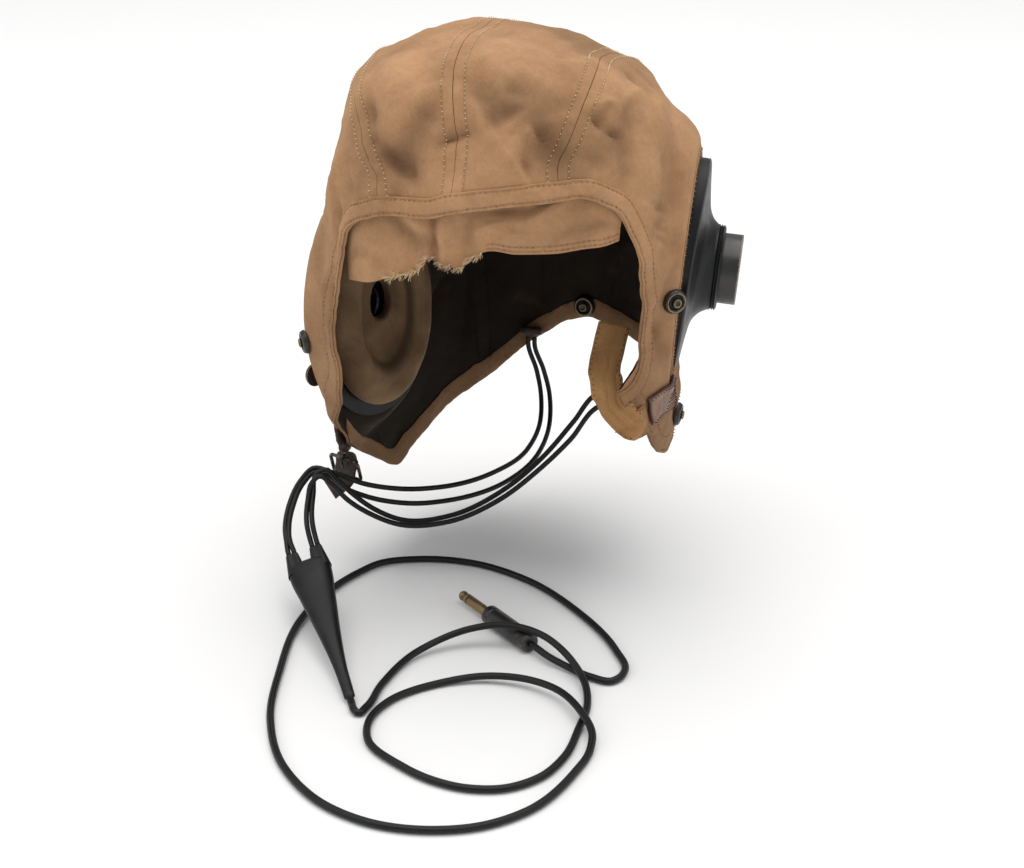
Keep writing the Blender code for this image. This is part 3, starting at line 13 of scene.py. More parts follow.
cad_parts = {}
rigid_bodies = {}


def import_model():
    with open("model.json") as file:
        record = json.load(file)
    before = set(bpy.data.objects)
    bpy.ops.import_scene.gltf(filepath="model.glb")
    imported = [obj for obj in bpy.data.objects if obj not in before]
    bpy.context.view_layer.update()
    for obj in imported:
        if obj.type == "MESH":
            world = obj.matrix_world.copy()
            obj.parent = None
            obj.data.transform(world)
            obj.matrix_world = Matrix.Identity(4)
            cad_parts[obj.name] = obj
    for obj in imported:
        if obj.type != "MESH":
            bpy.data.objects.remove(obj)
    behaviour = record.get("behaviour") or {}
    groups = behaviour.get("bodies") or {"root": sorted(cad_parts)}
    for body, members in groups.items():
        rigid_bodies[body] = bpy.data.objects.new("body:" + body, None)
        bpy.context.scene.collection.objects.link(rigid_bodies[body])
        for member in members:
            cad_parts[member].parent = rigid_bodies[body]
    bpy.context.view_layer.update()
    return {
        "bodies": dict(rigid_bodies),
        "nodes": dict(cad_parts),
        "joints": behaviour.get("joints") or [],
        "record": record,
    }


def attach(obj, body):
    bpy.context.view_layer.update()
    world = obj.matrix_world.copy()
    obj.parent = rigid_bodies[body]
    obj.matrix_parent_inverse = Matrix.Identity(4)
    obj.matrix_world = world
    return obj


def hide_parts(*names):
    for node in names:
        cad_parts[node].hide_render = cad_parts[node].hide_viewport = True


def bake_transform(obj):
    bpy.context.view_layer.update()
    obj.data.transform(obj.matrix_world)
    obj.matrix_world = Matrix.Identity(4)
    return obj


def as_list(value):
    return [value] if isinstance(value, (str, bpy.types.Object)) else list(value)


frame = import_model()

# Camera, floor and light
# A pale paper sweep under one wide soft box overhead, with weak light from both sides; the camera looks
# down a little from the wearer's left front.
CAMERA_PLACE = (0.2755, -0.9935, 0.2030)
CAMERA_TILT, CAMERA_TURN = math.radians(66.4), math.radians(15.34)
LENS = 65.04
FLOOR = -0.3333
FLOOR_SIZE = 14
ROOM_LIGHT = 0.50
# Each soft box: place, what it points at, width, power and colour
SOFT_BOXES = {
    "overhead": ((0.05, 0.30, 3.20), (0, 0, -0.20), 4.5, 128, (1, 0.99, 0.975)),
    "window": ((-2.40, -1.60, 1.50), (0, 0, -0.10), 2.0, 16, (0.99, 0.995, 1)),
    "reflector": ((2.60, -0.60, 0.60), (0, 0, -0.15), 1.6, 8, (1, 0.995, 0.985)),
}

camera = bpy.data.objects.new("camera", bpy.data.cameras.new("camera"))
camera.data.lens = LENS
camera.data.clip_start = 0.01
camera.location = CAMERA_PLACE
camera.rotation_euler = (CAMERA_TILT, 0, CAMERA_TURN)
bpy.context.scene.collection.objects.link(camera)
bpy.context.scene.camera = camera
bpy.context.scene.view_settings.view_transform = "Standard"


def linear(hex_colour):
    """Linear RGBA from an sRGB hex colour."""
    channels = [int(hex_colour[k:k + 2], 16) / 255 for k in (1, 3, 5)]
    return (*(c / 12.92 if c <= 0.04045 else ((c + 0.055) / 1.055) ** 2.4 for c in channels), 1)


def add_node(tree, kind, settings=None, inputs=None):
    """Add a node with its settings; an input is given a value, or an output to link from."""
    made = tree.nodes.new(kind)
    for name, value in (settings or {}).items():
        setattr(made, name, value)
    for name, value in (inputs or {}).items():
        socket = made.inputs[name]
        if isinstance(value, bpy.types.NodeSocket):
            tree.links.new(value, socket)
        else:
            socket.default_value = value
    return made


class Finish:
    """A material under way: each step adds one node and gives the socket to go on from."""

    def __init__(self, name):
        self.material = bpy.data.materials.new(name)
        self.material.use_nodes = True
        self.tree = self.material.node_tree
        self.tree.nodes.clear()
        self.surface = self.tree.nodes.new("ShaderNodeOutputMaterial").inputs["Surface"]
        self.spot = self.add("ShaderNodeTexCoord").outputs["Object"]

    def add(self, kind, settings=None, inputs=None):
        return add_node(self.tree, kind, settings, inputs)

    def noted(self, name, part="Fac"):
        """An attribute that the piece carries."""
        return self.add("ShaderNodeAttribute", {"attribute_name": name}).outputs[part]

    def noise(self, scale, detail, place=None, **others):
        where = self.spot if place is None else place
        return self.add("ShaderNodeTexNoise", None,
                        {"Vector": where, "Scale": scale, "Detail": detail, **others}).outputs["Fac"]

    def ranged(self, value, low, high, to_low=0, to_high=1, **settings):
        """A value brought from one range to another."""
        return self.add("ShaderNodeMapRange", settings, {
            "Value": value, "From Min": low, "From Max": high, "To Min": to_low, "To Max": to_high}).outputs[0]

    def maths(self, operation, *values):
        return self.add("ShaderNodeMath", {"operation": operation}, dict(enumerate(values))).outputs[0]

    def mixed(self, factor, first, second):
        """Two colours mixed, each a hex colour or a socket."""
        first, second = [linear(end) if isinstance(end, str) else end for end in (first, second)]
        return self.add("ShaderNodeMix", {"data_type": "RGBA"}, {"Factor": factor, 6: first, 7: second}).outputs[2]

    def toned(self, base, tone):
        return self.add("ShaderNodeVectorMath", {"operation": "SCALE"}, {0: base, "Scale": tone}).outputs[0]

    def raised(self, height, strength, distance, over=None, invert=False):
        """Relief, laid over another relief if one is given."""
        inputs = {"Height": height, "Strength": strength, "Distance": distance}
        if over is not None:
            inputs["Normal"] = over
        return self.add("ShaderNodeBump", {"invert": invert}, inputs).outputs[0]

    def coated(self, inputs):
        """The finished material, with one shader of those inputs."""
        self.tree.links.new(self.add("ShaderNodeBsdfPrincipled", None, inputs).outputs[0], self.surface)
        return self.material


# Matte photographic paper: plain, barely grey, no gloss
paper = Finish("matte paper").coated(
    {"Base Color": linear("#F4F4F4"), "Roughness": 0.9, "Specular IOR Level": 0.1})
half = FLOOR_SIZE / 2
floor_mesh = bpy.data.meshes.new("floor")
floor_mesh.from_pydata([(-half, -half, FLOOR), (half, -half, FLOOR), (half, half, FLOOR), (-half, half, FLOOR)], [],
                       [(0, 1, 2, 3)])
floor_mesh.materials.append(paper)
floor = bpy.data.objects.new("floor", floor_mesh)
bpy.context.scene.collection.objects.link(floor)

world = bpy.data.worlds.new("studio")
bpy.context.scene.world = world
world.use_nodes = True
world.node_tree.nodes["Background"].inputs["Color"].default_value = linear("#FBFBFC")
world.node_tree.nodes["Background"].inputs["Strength"].default_value = ROOM_LIGHT
for name, (place, aim, width, power, colour) in SOFT_BOXES.items():
    lamp = bpy.data.lights.new(name, "AREA")
    lamp.shape = "SQUARE"
    lamp.size = width
    lamp.energy = power
    lamp.color = colour
    made = bpy.data.objects.new(name, lamp)
    made.location = place
    made.rotation_euler = (Vector(aim) - Vector(place)).to_track_quat("-Z", "Y").to_euler()
    bpy.context.scene.collection.objects.link(made)

# Telephone leads
# Four single rubber-covered cords, soft and smooth, that leave the leather keepers inside the hem, hang
# under the helmet over the strap's end and run down into the moulded fork.
LEAD_RADIUS = 0.00155
LEAD_STEP = 0.0025
LEAD_SIDES = 14
FORK_TOP = (-0.0945, -0.0965, -0.3015)
FORK_AXIS = (0.523, -0.813, -0.257)
FORK_ACROSS = (0.826, 0.492, 0.275)
ARM_SPREAD, ARM_START, LEAD_SPACING = 0.0073, -0.0130, 0.0034
GAP = 0.0003
# Each lead: its length, and its route straight out of its keeper and through the air to the fork
LEADS = {
    "lead_right_outer": (0.3161, (
        (-0.0126, 0.0968, -0.2210), (-0.0126, 0.0964, -0.2241),
        (-0.0070, 0.0975, -0.2440), (-0.0035, 0.0945, -0.2570), (-0.0005, 0.0830, -0.2720),
        (-0.0025, 0.0580, -0.2825), (-0.0150, 0.0230, -0.2850), (-0.0390, -0.0130, -0.2820),
        (-0.0600, -0.0290, -0.2785), (-0.0800, -0.0360, -0.2745), (-0.0990, -0.0390, -0.2680),
        (-0.1115, -0.0398, -0.2662), (-0.1172, -0.0465, -0.2722), (-0.1203, -0.0593, -0.2834),
        (-0.1184, -0.0713, -0.2914), (-0.1128, -0.0832, -0.2975))),
    "lead_right_inner": (0.3173, (
        (-0.0084, 0.0971, -0.2210), (-0.0084, 0.0967, -0.2241),
        (-0.0025, 0.0980, -0.2430), (0.0020, 0.0955, -0.2570), (0.0055, 0.0840, -0.2730),
        (0.0045, 0.0590, -0.2850), (-0.0080, 0.0240, -0.2915), (-0.0360, -0.0130, -0.2910),
        (-0.0560, -0.0305, -0.2870), (-0.0780, -0.0370, -0.2825), (-0.0920, -0.0400, -0.2765),
        (-0.1010, -0.0413, -0.2694), (-0.1095, -0.0422, -0.2676), (-0.1150, -0.0482, -0.2730),
        (-0.1174, -0.0602, -0.2832), (-0.1157, -0.0716, -0.2902), (-0.1101, -0.0835, -0.2964))),
    "lead_left_outer": (0.3054, (
        (0.0936, 0.0012, -0.2149), (0.0940, 0.0013, -0.2180),
        (0.0870, 0.0030, -0.2225), (0.0740, 0.0010, -0.2190), (0.0570, -0.0010, -0.2225),
        (0.0410, -0.0070, -0.2435), (0.0235, -0.0130, -0.2625), (0.0010, -0.0220, -0.2815),
        (-0.0285, -0.0305, -0.2960), (-0.0570, -0.0420, -0.2960), (-0.0730, -0.0465, -0.2890),
        (-0.0860, -0.0495, -0.2800), (-0.0960, -0.0510, -0.2695), (-0.1030, -0.0510, -0.2655),
        (-0.1070, -0.0540, -0.2690), (-0.1072, -0.0605, -0.2765), (-0.1035, -0.0735, -0.2872))),
    "lead_left_inner": (0.3140, (
        (0.0929, 0.0054, -0.2149), (0.0933, 0.0054, -0.2180),
        (0.0870, 0.0080, -0.2205), (0.0730, 0.0060, -0.2150), (0.0540, 0.0050, -0.2175),
        (0.0410, 0.0010, -0.2350), (0.0250, -0.0060, -0.2560), (0.0010, -0.0150, -0.2785),
        (-0.0285, -0.0245, -0.2945), (-0.0565, -0.0365, -0.2955), (-0.0710, -0.0415, -0.2885),
        (-0.0840, -0.0445, -0.2785), (-0.0940, -0.0455, -0.2690), (-0.1010, -0.0450, -0.2635),
        (-0.1062, -0.0475, -0.2660), (-0.1052, -0.0570, -0.2752), (-0.1008, -0.0715, -0.2862))),
}


def hermite(knots, values, at, flat_start=False):
    """Smooth values between knots, run straight on past the last one."""
    knots, values, at = np.asarray(knots, float), np.asarray(values, float), np.asarray(at, float)
    slopes = np.gradient(values, knots, axis=0)
    if flat_start:
        slopes[0] = 0
    low = np.clip(np.searchsorted(knots, at, side="right") - 1, 0, len(knots) - 2)
    span = knots[low + 1] - knots[low]
    part = (np.clip(at, knots[0], knots[-1]) - knots[low]) / span
    if values.ndim > 1:
        part, span = part[..., None], span[..., None]
    held = ((1 + 2 * part) * values[low] + span * part * slopes[low]) * (1 - part) ** 2
    reached = ((3 - 2 * part) * values[low + 1] - span * (1 - part) * slopes[low + 1]) * part ** 2
    past = np.maximum(at - knots[-1], 0)
    return held + reached + slopes[-1] * (past[..., None] if values.ndim > 1 else past)


def run_along(points):
    """Distance along a line to each of its points."""
    return np.concatenate([[0], np.cumsum(np.linalg.norm(np.diff(points, axis=0), axis=1))])


def points_at(distances, run, points):
    """Points of a line at distances along it."""
    return np.stack([np.interp(distances, run, column) for column in points.T], axis=1)


def spline(points, first=0, last=None, shares=None, count=None, step=None):
    """Points at even shares of the length of a smooth curve through points[first] to points[last]."""
    points = np.asarray(points, float)
    last = len(points) - 1 if last is None else last
    knots = run_along(points)
    dense = hermite(knots, points, np.linspace(knots[first], knots[last], 40 * (last - first) + 1))
    run = run_along(dense)
    if shares is None:
        count = count or max(2, round(run[-1] / step))
        shares = np.linspace(0, 1, count + 1)
    return points_at(np.asarray(shares) * run[-1], run, dense)


def unit(vectors):
    """Vectors of length one."""
    vectors = np.asarray(vectors, float)
    return vectors / np.linalg.norm(vectors, axis=-1, keepdims=True)


def add_piece(name, verts, faces, finishes, cut=None, notes=None, face_finish=None, frame=None, sharp=40):
    """A piece at the origin: its mesh, finishes, the UV map of its cut and its named attributes."""
    mesh = bpy.data.meshes.new(name)
    verts = np.asarray(verts, float)
    if frame is not None:
        turn = np.array(frame)
        verts = verts @ turn[:3, :3].T + turn[:3, 3]
    mesh.from_pydata(verts.tolist(), [], faces if isinstance(faces, list) else faces.tolist())
    if cut is not None:
        corners = np.zeros(len(mesh.loops), int)
        mesh.loops.foreach_get("vertex_index", corners)
        mesh.uv_layers.new(name="cut").data.foreach_set("uv", np.asarray(cut, float)[corners].ravel())
    for note, values in (notes or {}).items():
        values = np.asarray(values, float)
        kind, field = ("FLOAT", "value") if values.ndim == 1 else ("FLOAT_VECTOR", "vector")
        mesh.attributes.new(note, kind, "POINT").data.foreach_set(field, values.ravel())
    for finish in finishes:
        mesh.materials.append(finish)
    if face_finish is not None:
        mesh.polygons.foreach_set("material_index", np.asarray(face_finish, np.int32))
    work = bmesh.new()
    work.from_mesh(mesh)
    bmesh.ops.recalc_face_normals(work, faces=work.faces)
    work.to_mesh(mesh)
    work.free()
    mesh.shade_smooth()
    mesh.set_sharp_from_angle(angle=math.radians(sharp))
    made = bpy.data.objects.new(name, mesh)
    bpy.context.scene.collection.objects.link(made)
    return made


def round_skin(sections, loop=False):
    """Points and faces through closed sections of equal length, joined end to end or capped."""
    sections = np.asarray(sections, float)
    count, size = sections.shape[:2]
    rows, cols = np.meshgrid(np.arange(count if loop else count - 1), np.arange(size), indexing="ij")
    after, upper = (cols + 1) % size, (rows + 1) % count
    faces = np.stack([rows * size + cols, rows * size + after, upper * size + after, upper * size + cols],
                     axis=-1).reshape(-1, 4).tolist()
    if not loop:
        faces += [list(range(size)), list(range((count - 1) * size, count * size))]
    return sections.reshape(-1, 3), faces


def cord_frames(points, upward):
    """Directions across and up a cord at each of its points, its flat side held toward upward."""
    along = unit(np.gradient(points, axis=0))
    up = unit(upward - along * np.sum(upward * along, axis=1, keepdims=True))
    return np.cross(up, along), up


def cord_piece(name, points, upward, outline, finish):
    """A cord of the outline's section along points, its ends capped flat, with length and turn as UV."""
    points = np.asarray(points, float)
    across, up = cord_frames(points, np.broadcast_to(np.asarray(upward, float), points.shape))
    run = run_along(points)
    outline = np.asarray(outline)
    sections = points[:, None] + across[:, None] * outline[None, :, :1] + up[:, None] * outline[None, :, 1:]
    verts, faces = round_skin(sections)
    girth = np.linspace(0, 1, len(outline))
    cut = np.stack(np.meshgrid(run, girth, indexing="ij"), axis=-1).reshape(-1, 2)
    return add_piece(name, verts, faces, [finish], cut=cut)


def hand_in(made, body, slot, *nodes):
    """The piece rides on a body and stands for the frame's nodes given, which are hidden; its slot is not used."""
    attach(made, body)
    if nodes:
        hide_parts(*nodes)


# Vulcanised rubber, moulded and drawn: near black, half matt, with the grey bloom and faint scuffs that
# old rubber gets. The bloom lies in patches about 15 mm across; the skin's grain is drawn at 0.7 mm, as
# the real 0.1 mm would not show.
look = Finish("vulcanised rubber")
bloom = look.noise(65, 5, Roughness=0.6)
scuffs = look.ranged(look.noise(420, 4, Distortion=0.6), 0.62, 0.75, 0, 0.35)
base = look.mixed(look.ranged(bloom, 0.42, 0.72), "#0F1011", "#1C1D1E")
rubber = look.coated({
    "Base Color": look.mixed(scuffs, base, "#303130"), "Roughness": look.ranged(bloom, 0.3, 0.7, 0.34, 0.52),
    "IOR": 1.48, "Specular IOR Level": 0.32, "Normal": look.raised(look.noise(1400, 2), 0.12, 0.0003)})

fork_way = unit(FORK_AXIS)
fork_across = unit(np.array(FORK_ACROSS) - fork_way * (fork_way @ np.array(FORK_ACROSS)))
fork_thick = np.cross(fork_way, fork_across)
turns = np.linspace(0, math.tau, LEAD_SIDES, endpoint=False)
lead_outline = np.stack([np.cos(turns), np.sin(turns)], axis=1) * LEAD_RADIUS
leads = {}
for name, (length, route) in LEADS.items():
    aside = -ARM_SPREAD if "right" in name else ARM_SPREAD
    aside += (-LEAD_SPACING if "outer" in name else LEAD_SPACING) / 2
    end = np.array(FORK_TOP) + fork_way * (ARM_START - GAP) + fork_across * aside
    before = end - fork_way * (2 * LEAD_RADIUS)
    line = [route[0], *spline([*route, before, end], 1, len(route), step=LEAD_STEP), end]
    leads[name] = cord_piece(name + "_cord", line, (0.1, -0.3, 1), lead_outline, rubber), line

# Moulded fork
# One rubber moulding that takes the two pairs of leads in its grooved arms and narrows down to the flat
# cord; it was moulded round the joint of their conductors.
FORK_RUNS = (-0.0040, 0.0050, 0.0300, 0.0600, 0.0850, 0.1105)
FORK_HALF_WIDTHS = (0.0115, 0.0125, 0.0100, 0.0062, 0.0038, 0.0030)
FORK_HALF_THICKNESSES = (0.0033, 0.0040, 0.0042, 0.0036, 0.0026, 0.0022)
FORK_STEPS = 36
FORK_SQUARENESS = 0.75
FORK_ROWS = 60
FORK_ROUNDING, FORK_END_ROUNDING, ARM_ROUNDING = 0.003, 0.0008, 0.0006
ARM_END, ARM_ROWS, ARM_GROOVE = 0.0060, 40, 0.40
ARM_HALF_WIDTHS, ARM_HALF_THICKNESSES = (0.0037, 0.0059), (0.0020, 0.0034)


def fork_sections(runs, widths, thicknesses, aside=0, grooves=0):
    """Squared ovals across the fork's direction, drawn in along their middle by the grooves given."""
    turn = np.linspace(0, math.tau, FORK_STEPS, endpoint=False)
    x = np.sign(np.cos(turn)) * np.abs(np.cos(turn)) ** FORK_SQUARENESS
    y = np.sign(np.sin(turn)) * np.abs(np.sin(turn)) ** FORK_SQUARENESS
    y = y * (1 - np.broadcast_to(grooves, len(runs))[:, None] * np.exp(-(x / 0.35) ** 2))
    centres = np.array(FORK_TOP) + fork_way * np.asarray(runs)[:, None] + fork_across * aside
    return (centres[:, None] + fork_across * (np.asarray(widths)[:, None] * x)[..., None]
            + fork_thick * (np.asarray(thicknesses)[:, None] * y)[..., None])


runs = np.linspace(FORK_RUNS[0], FORK_RUNS[-1], FORK_ROWS)
drawn = np.clip((runs - FORK_RUNS[0]) / FORK_ROUNDING, 0.03, 1) ** 0.5
drawn = drawn * np.clip((FORK_RUNS[-1] - runs) / FORK_END_ROUNDING, 0.4, 1)
fork_body = add_piece("fork_body", *round_skin(fork_sections(
    runs, hermite(FORK_RUNS, FORK_HALF_WIDTHS, runs) * drawn,
    hermite(FORK_RUNS, FORK_HALF_THICKNESSES, runs) * drawn)), [rubber])
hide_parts("fork_mould")
fork_pieces = [fork_body]
runs = np.linspace(ARM_START, ARM_END, ARM_ROWS)
share = (runs - ARM_START) / (ARM_END - ARM_START)
drawn = np.clip((runs - ARM_START) / ARM_ROUNDING, 0.80, 1)
for sign, label in ((-1, "outer"), (1, "inner")):
    arm = fork_sections(runs, (ARM_HALF_WIDTHS[0] * (1 - share) + ARM_HALF_WIDTHS[1] * share) * drawn,
                        (ARM_HALF_THICKNESSES[0] * (1 - share) + ARM_HALF_THICKNESSES[1] * share) * drawn,
                        sign * ARM_SPREAD, ARM_GROOVE * (1 - share))
    fork_pieces.append(add_piece("fork_arm_" + label, *round_skin(arm), [rubber]))
for made in fork_pieces:
    hand_in(made, "helmet", "black_rubber")

for name, (made, line) in leads.items():
    hand_in(made, "helmet", "black_rubber", name)
    tuple(line[0])
    [tuple(point) for point in line]
    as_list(fork_pieces[1:])

# Flat cord and plug
# Two rubber-covered cores side by side with a groove between them, lying over the paper in two loose
# rounds from the fork to a two-pole telephone plug with a pressed phenolic body and a worn brass shaft.
CORD_RADIUS = 0.0021
CORD_GROOVE = 0.00045
CORD_SIDES = 20
CORD_STEP = 0.0022
CORD_ROUTE = (
    (-0.0320, -0.1945, 0.0006), (-0.0285, -0.1970, 0), (-0.0265, -0.1905, 0), (-0.0260, -0.1660, 0),
    (-0.0160, -0.1280, 0.0020), (0.0085, -0.1100, 0.0095), (0.0260, -0.1055, 0.0123), (0.0490, -0.1085, 0.0115),
    (0.0680, -0.1205, 0.0073), (0.0805, -0.1345, 0.0022), (0.0880, -0.1560, 0), (0.0890, -0.1800, 0),
    (0.0880, -0.2085, 0), (0.0805, -0.2295, 0), (0.0660, -0.2435, 0), (0.0475, -0.2485, 0), (0.0275, -0.2460, 0),
    (0.0090, -0.2380, 0), (-0.0145, -0.2205, 0), (-0.0205, -0.2000, 0), (-0.0165, -0.1810, 0),
    (0.0045, -0.1560, 0), (0.0275, -0.1455, 0.0020), (0.0530, -0.1455, 0.0036), (0.0690, -0.1520, 0.0044),
    (0.0865, -0.1690, 0.0045), (0.0980, -0.1875, 0.0020), (0.0995, -0.2005, 0), (0.0970, -0.2185, 0),
    (0.0810, -0.2605, 0), (0.0630, -0.2775, 0), (0.0420, -0.2865, 0), (0.0160, -0.2895, 0),
    (-0.0135, -0.2820, 0), (-0.0475, -0.2555, 0), (-0.0720, -0.2140, 0), (-0.0855, -0.1675, 0),
    (-0.0955, -0.1080, 0), (-0.0940, -0.0850, 0), (-0.0830, -0.0460, 0), (-0.0735, -0.0295, 0),
    (-0.0515, -0.0180, 0), (-0.0190, -0.0145, 0), (0.0185, -0.0265, 0), (0.0585, -0.0570, 0),
    (0.0905, -0.0955, 0), (0.1000, -0.1155, 0), (0.0990, -0.1235, 0), (0.0950, -0.1290, 0),
    (0.0830, -0.1275, 0), (0.0660, -0.1210, 0.0012), (0.0550, -0.1160, 0.0027))
PLUG_FRONT = (0.0107, -0.0802)
PLUG_WAY = (-0.768, 0.640)
PLUG_STEPS = 64
PLUG_RADIUS, PLUG_LENGTH, PLUG_ROUNDING, PLUG_EASE = 0.0058, 0.0430, 0.0012, 0.0004
PLUG_GROOVE_PLACES = (0.0060, 0.0360)
PLUG_GROOVE_WIDTH, PLUG_GROOVE_DEPTH = 0.0012, 0.0005
SHAFT_RADIUS, SLEEVE_LENGTH, RING_LENGTH = 0.0031, 0.0185, 0.0014
TIP_PROFILE = ((0, 0.0090), (0.0010, 0.0088), (0.0023, 0.0074), (0.0031, 0.0058), (0.0030, 0.0050),
               (0.0021, 0.0036), (0.0026, 0.0022), (0.0031, 0.0018), (0.0031, 0), (0, 0))


def facing_frame(point, normal, upward=(0, 0, 1)):
    """Axes at a point: +Z along the normal, +Y as near upward as it can be."""
    normal = Vector(normal).normalized()
    across = Vector(upward).cross(normal).normalized()
    axes = Matrix((across, normal.cross(across), normal)).transposed().to_4x4()
    return Matrix.Translation(Vector(point)) @ axes


def rounded(profile, radius, steps=3):
    """The profile with its corners rounded, and for each point how much it lies on an outward edge."""
    profile = [np.array(point, float) for point in profile]
    points, worn = [profile[0]], [0]
    for before, corner, after in zip(profile, profile[1:], profile[2:]):
        into, out = corner - before, after - corner
        reach = min(radius, 0.4 * np.linalg.norm(into), 0.4 * np.linalg.norm(out))
        first, last = corner - unit(into) * reach, corner + unit(out) * reach
        sharpness = into[0] * out[1] - into[1] * out[0]
        sharpness /= np.linalg.norm(into) * np.linalg.norm(out)
        for step in range(steps + 1):
            share = step / steps
            points.append((1 - share) ** 2 * first + 2 * share * (1 - share) * corner + share ** 2 * last)
            worn.append(max(0, -sharpness) * math.sin(math.pi * (0.1 + 0.8 * share)))
    return points + [profile[-1]], worn + [0]


def turned_piece(name, profile, place, finishes, steps=64, radius=0.0002, sharp=50):
    """A turned piece from a profile that runs down its outer side, its corners eased; notes its wear."""
    points, worn = rounded(profile, radius)
    turn = np.linspace(0, math.tau, steps, endpoint=False)
    rings, marks = [], []
    for (across, height), mark in zip(points, worn):
        rings.append(np.stack([across * np.cos(turn), across * np.sin(turn), 0 * turn + height], axis=1))
        marks += [mark] * steps
    verts, faces = round_skin(rings)
    first_ring, last_ring = faces.pop(), faces.pop()
    made = add_piece(name, verts, faces + [first_ring, last_ring], finishes, notes={"worn": marks}, frame=place,
                     sharp=sharp)
    work = bmesh.new()
    work.from_mesh(made.data)
    bmesh.ops.remove_doubles(work, verts=work.verts, dist=0.000005)
    bmesh.ops.recalc_face_normals(work, faces=work.faces)
    work.to_mesh(made.data)
    work.free()
    return made


# Pressed phenolic: black with a brown cast, smooth from the mould, rubbed brown and chipped along its
# outward edges. The rubbing is noted on the mesh; the chips are broken up by noise about 1 mm wide.
look = Finish("pressed phenolic")
clouds = look.noise(90, 5)
bare = look.ranged(look.maths("MULTIPLY", look.noted("worn"), look.noise(900, 3)), 0.30, 0.46, 0, 0.85)
base = look.mixed(bare, look.mixed(clouds, "#121212", "#2A2724"), "#8A7B6C")
phenolic = look.coated({"Base Color": base, "Roughness": look.ranged(clouds, 0.3, 0.7, 0.24, 0.46), "IOR": 1.6,
                        "Normal": look.raised(bare, 0.4, 0.0002, invert=True)})

# Turned brass, long in use: dull brown with darker tarnish in blotches, brighter where it is rubbed,
# and fine turning marks drawn at 0.5 mm round its axis.
look = Finish("tarnished brass")
tarnish = look.noise(260, 6, Roughness=0.65)
base = look.mixed(look.noted("worn"), look.mixed(tarnish, "#5E4A39", "#8E775C"), "#C8AC7C")
brass = look.coated({"Base Color": base, "Roughness": look.ranged(tarnish, 0.3, 0.7, 0.35, 0.6), "Metallic": 1.0,
                     "Normal": look.raised(tarnish, 0.15, 0.0002)})

way = Vector((*PLUG_WAY, 0)).normalized()
axes = facing_frame((*PLUG_FRONT, FLOOR + GAP + PLUG_RADIUS), way)
profile = [(0, 0), (PLUG_RADIUS - PLUG_ROUNDING, 0), (PLUG_RADIUS, -PLUG_ROUNDING)]
for place in PLUG_GROOVE_PLACES:
    profile += [(PLUG_RADIUS, PLUG_GROOVE_WIDTH / 2 - place), (PLUG_RADIUS - PLUG_GROOVE_DEPTH, -place),
                (PLUG_RADIUS, -PLUG_GROOVE_WIDTH / 2 - place)]
profile += [(PLUG_RADIUS, PLUG_ROUNDING - PLUG_LENGTH), (PLUG_RADIUS - PLUG_ROUNDING, -PLUG_LENGTH),
            (0, -PLUG_LENGTH)]
low, high = GAP, GAP + SLEEVE_LENGTH
ring_low, ring_high = high + GAP, high + GAP + RING_LENGTH


def shaft_profile(low, high):
    return [(0, high), (SHAFT_RADIUS, high), (SHAFT_RADIUS, low), (0, low)]


tip_axes = axes @ Matrix.Translation((0, 0, ring_high + GAP))
plug_pieces = {
    "plug_body": turned_piece("plug_barrel", profile, axes, [phenolic], PLUG_STEPS, PLUG_EASE),
    "plug_sleeve": turned_piece("plug_shaft", shaft_profile(low, high), axes, [brass], PLUG_STEPS),
    "plug_ring": turned_piece("plug_collar", shaft_profile(ring_low, ring_high), axes, [phenolic], PLUG_STEPS),
    "plug_tip": turned_piece("plug_point", TIP_PROFILE, tip_axes, [brass], PLUG_STEPS),
}
for node, made in plug_pieces.items():
    hand_in(made, "helmet", "dull_brass" if made.data.materials[0] == brass else "black_plastic", node)

start = np.array(FORK_TOP) + fork_way * (FORK_RUNS[-1] + GAP)
away = start + fork_way * (2 * CORD_RADIUS)
end = np.array(axes @ Vector((0, 0, -PLUG_LENGTH - GAP)))
before = np.array(axes @ Vector((0, 0, -PLUG_LENGTH - 3 * CORD_RADIUS)))
route = [(x, y, FLOOR + GAP + CORD_RADIUS + lift) for x, y, lift in CORD_ROUTE]
line = [start, *spline([start, away, *route, before, end], 1, len(route) + 2, step=CORD_STEP), end]
turns = np.linspace(0, math.tau, CORD_SIDES, endpoint=False)
groove = np.exp(-(np.cos(turns) / 0.22) ** 2) * CORD_GROOVE
cord_outline = np.stack([np.cos(turns) * CORD_RADIUS, np.sin(turns) * (CORD_RADIUS * 0.93 - groove)], axis=1)
made = cord_piece("flat_cord", line, (0, 0, 1), cord_outline, rubber)
hand_in(made, "helmet", "black_rubber", "main_cord")
tuple(start)
[tuple(point) for point in line]

# Cotton shell
# Two crown panels and two side panels of tan cotton drill, sewn with flat seams and lined with dark
# cotton. The empty cloth hangs askew and has sunk into hollows and sharp creases.
SHELL_HEIGHT = 0.285
SHELL_HALF_WIDTH, SHELL_FRONT, SHELL_BACK, SHELL_POWER = 0.110, 0.113, 0.114, 2.35
CLOTH = 0.0016
DROP_SHARES = (0, 0.009, 0.037, 0.088, 0.172, 0.288, 0.41, 0.533, 0.667, 0.825, 1)
LEFT_WIDTH_SHARES = (0, 0.25, 0.48, 0.73, 0.865, 0.935, 0.964, 0.936, 0.93, 0.91, 0.86)
RIGHT_WIDTH_SHARES = (0, 0.29, 0.54, 0.73, 0.80, 0.85, 0.92, 0.99, 1.0, 0.92, 0.84)
FRONT_SHARES = (0, 0.32, 0.58, 0.78, 0.9, 0.98, 0.96, 0.89, 0.84, 0.79, 0.75)
BACK_SHARES = (0, 0.25, 0.5, 0.72, 0.88, 0.97, 1, 0.99, 0.965, 0.91, 0.86)
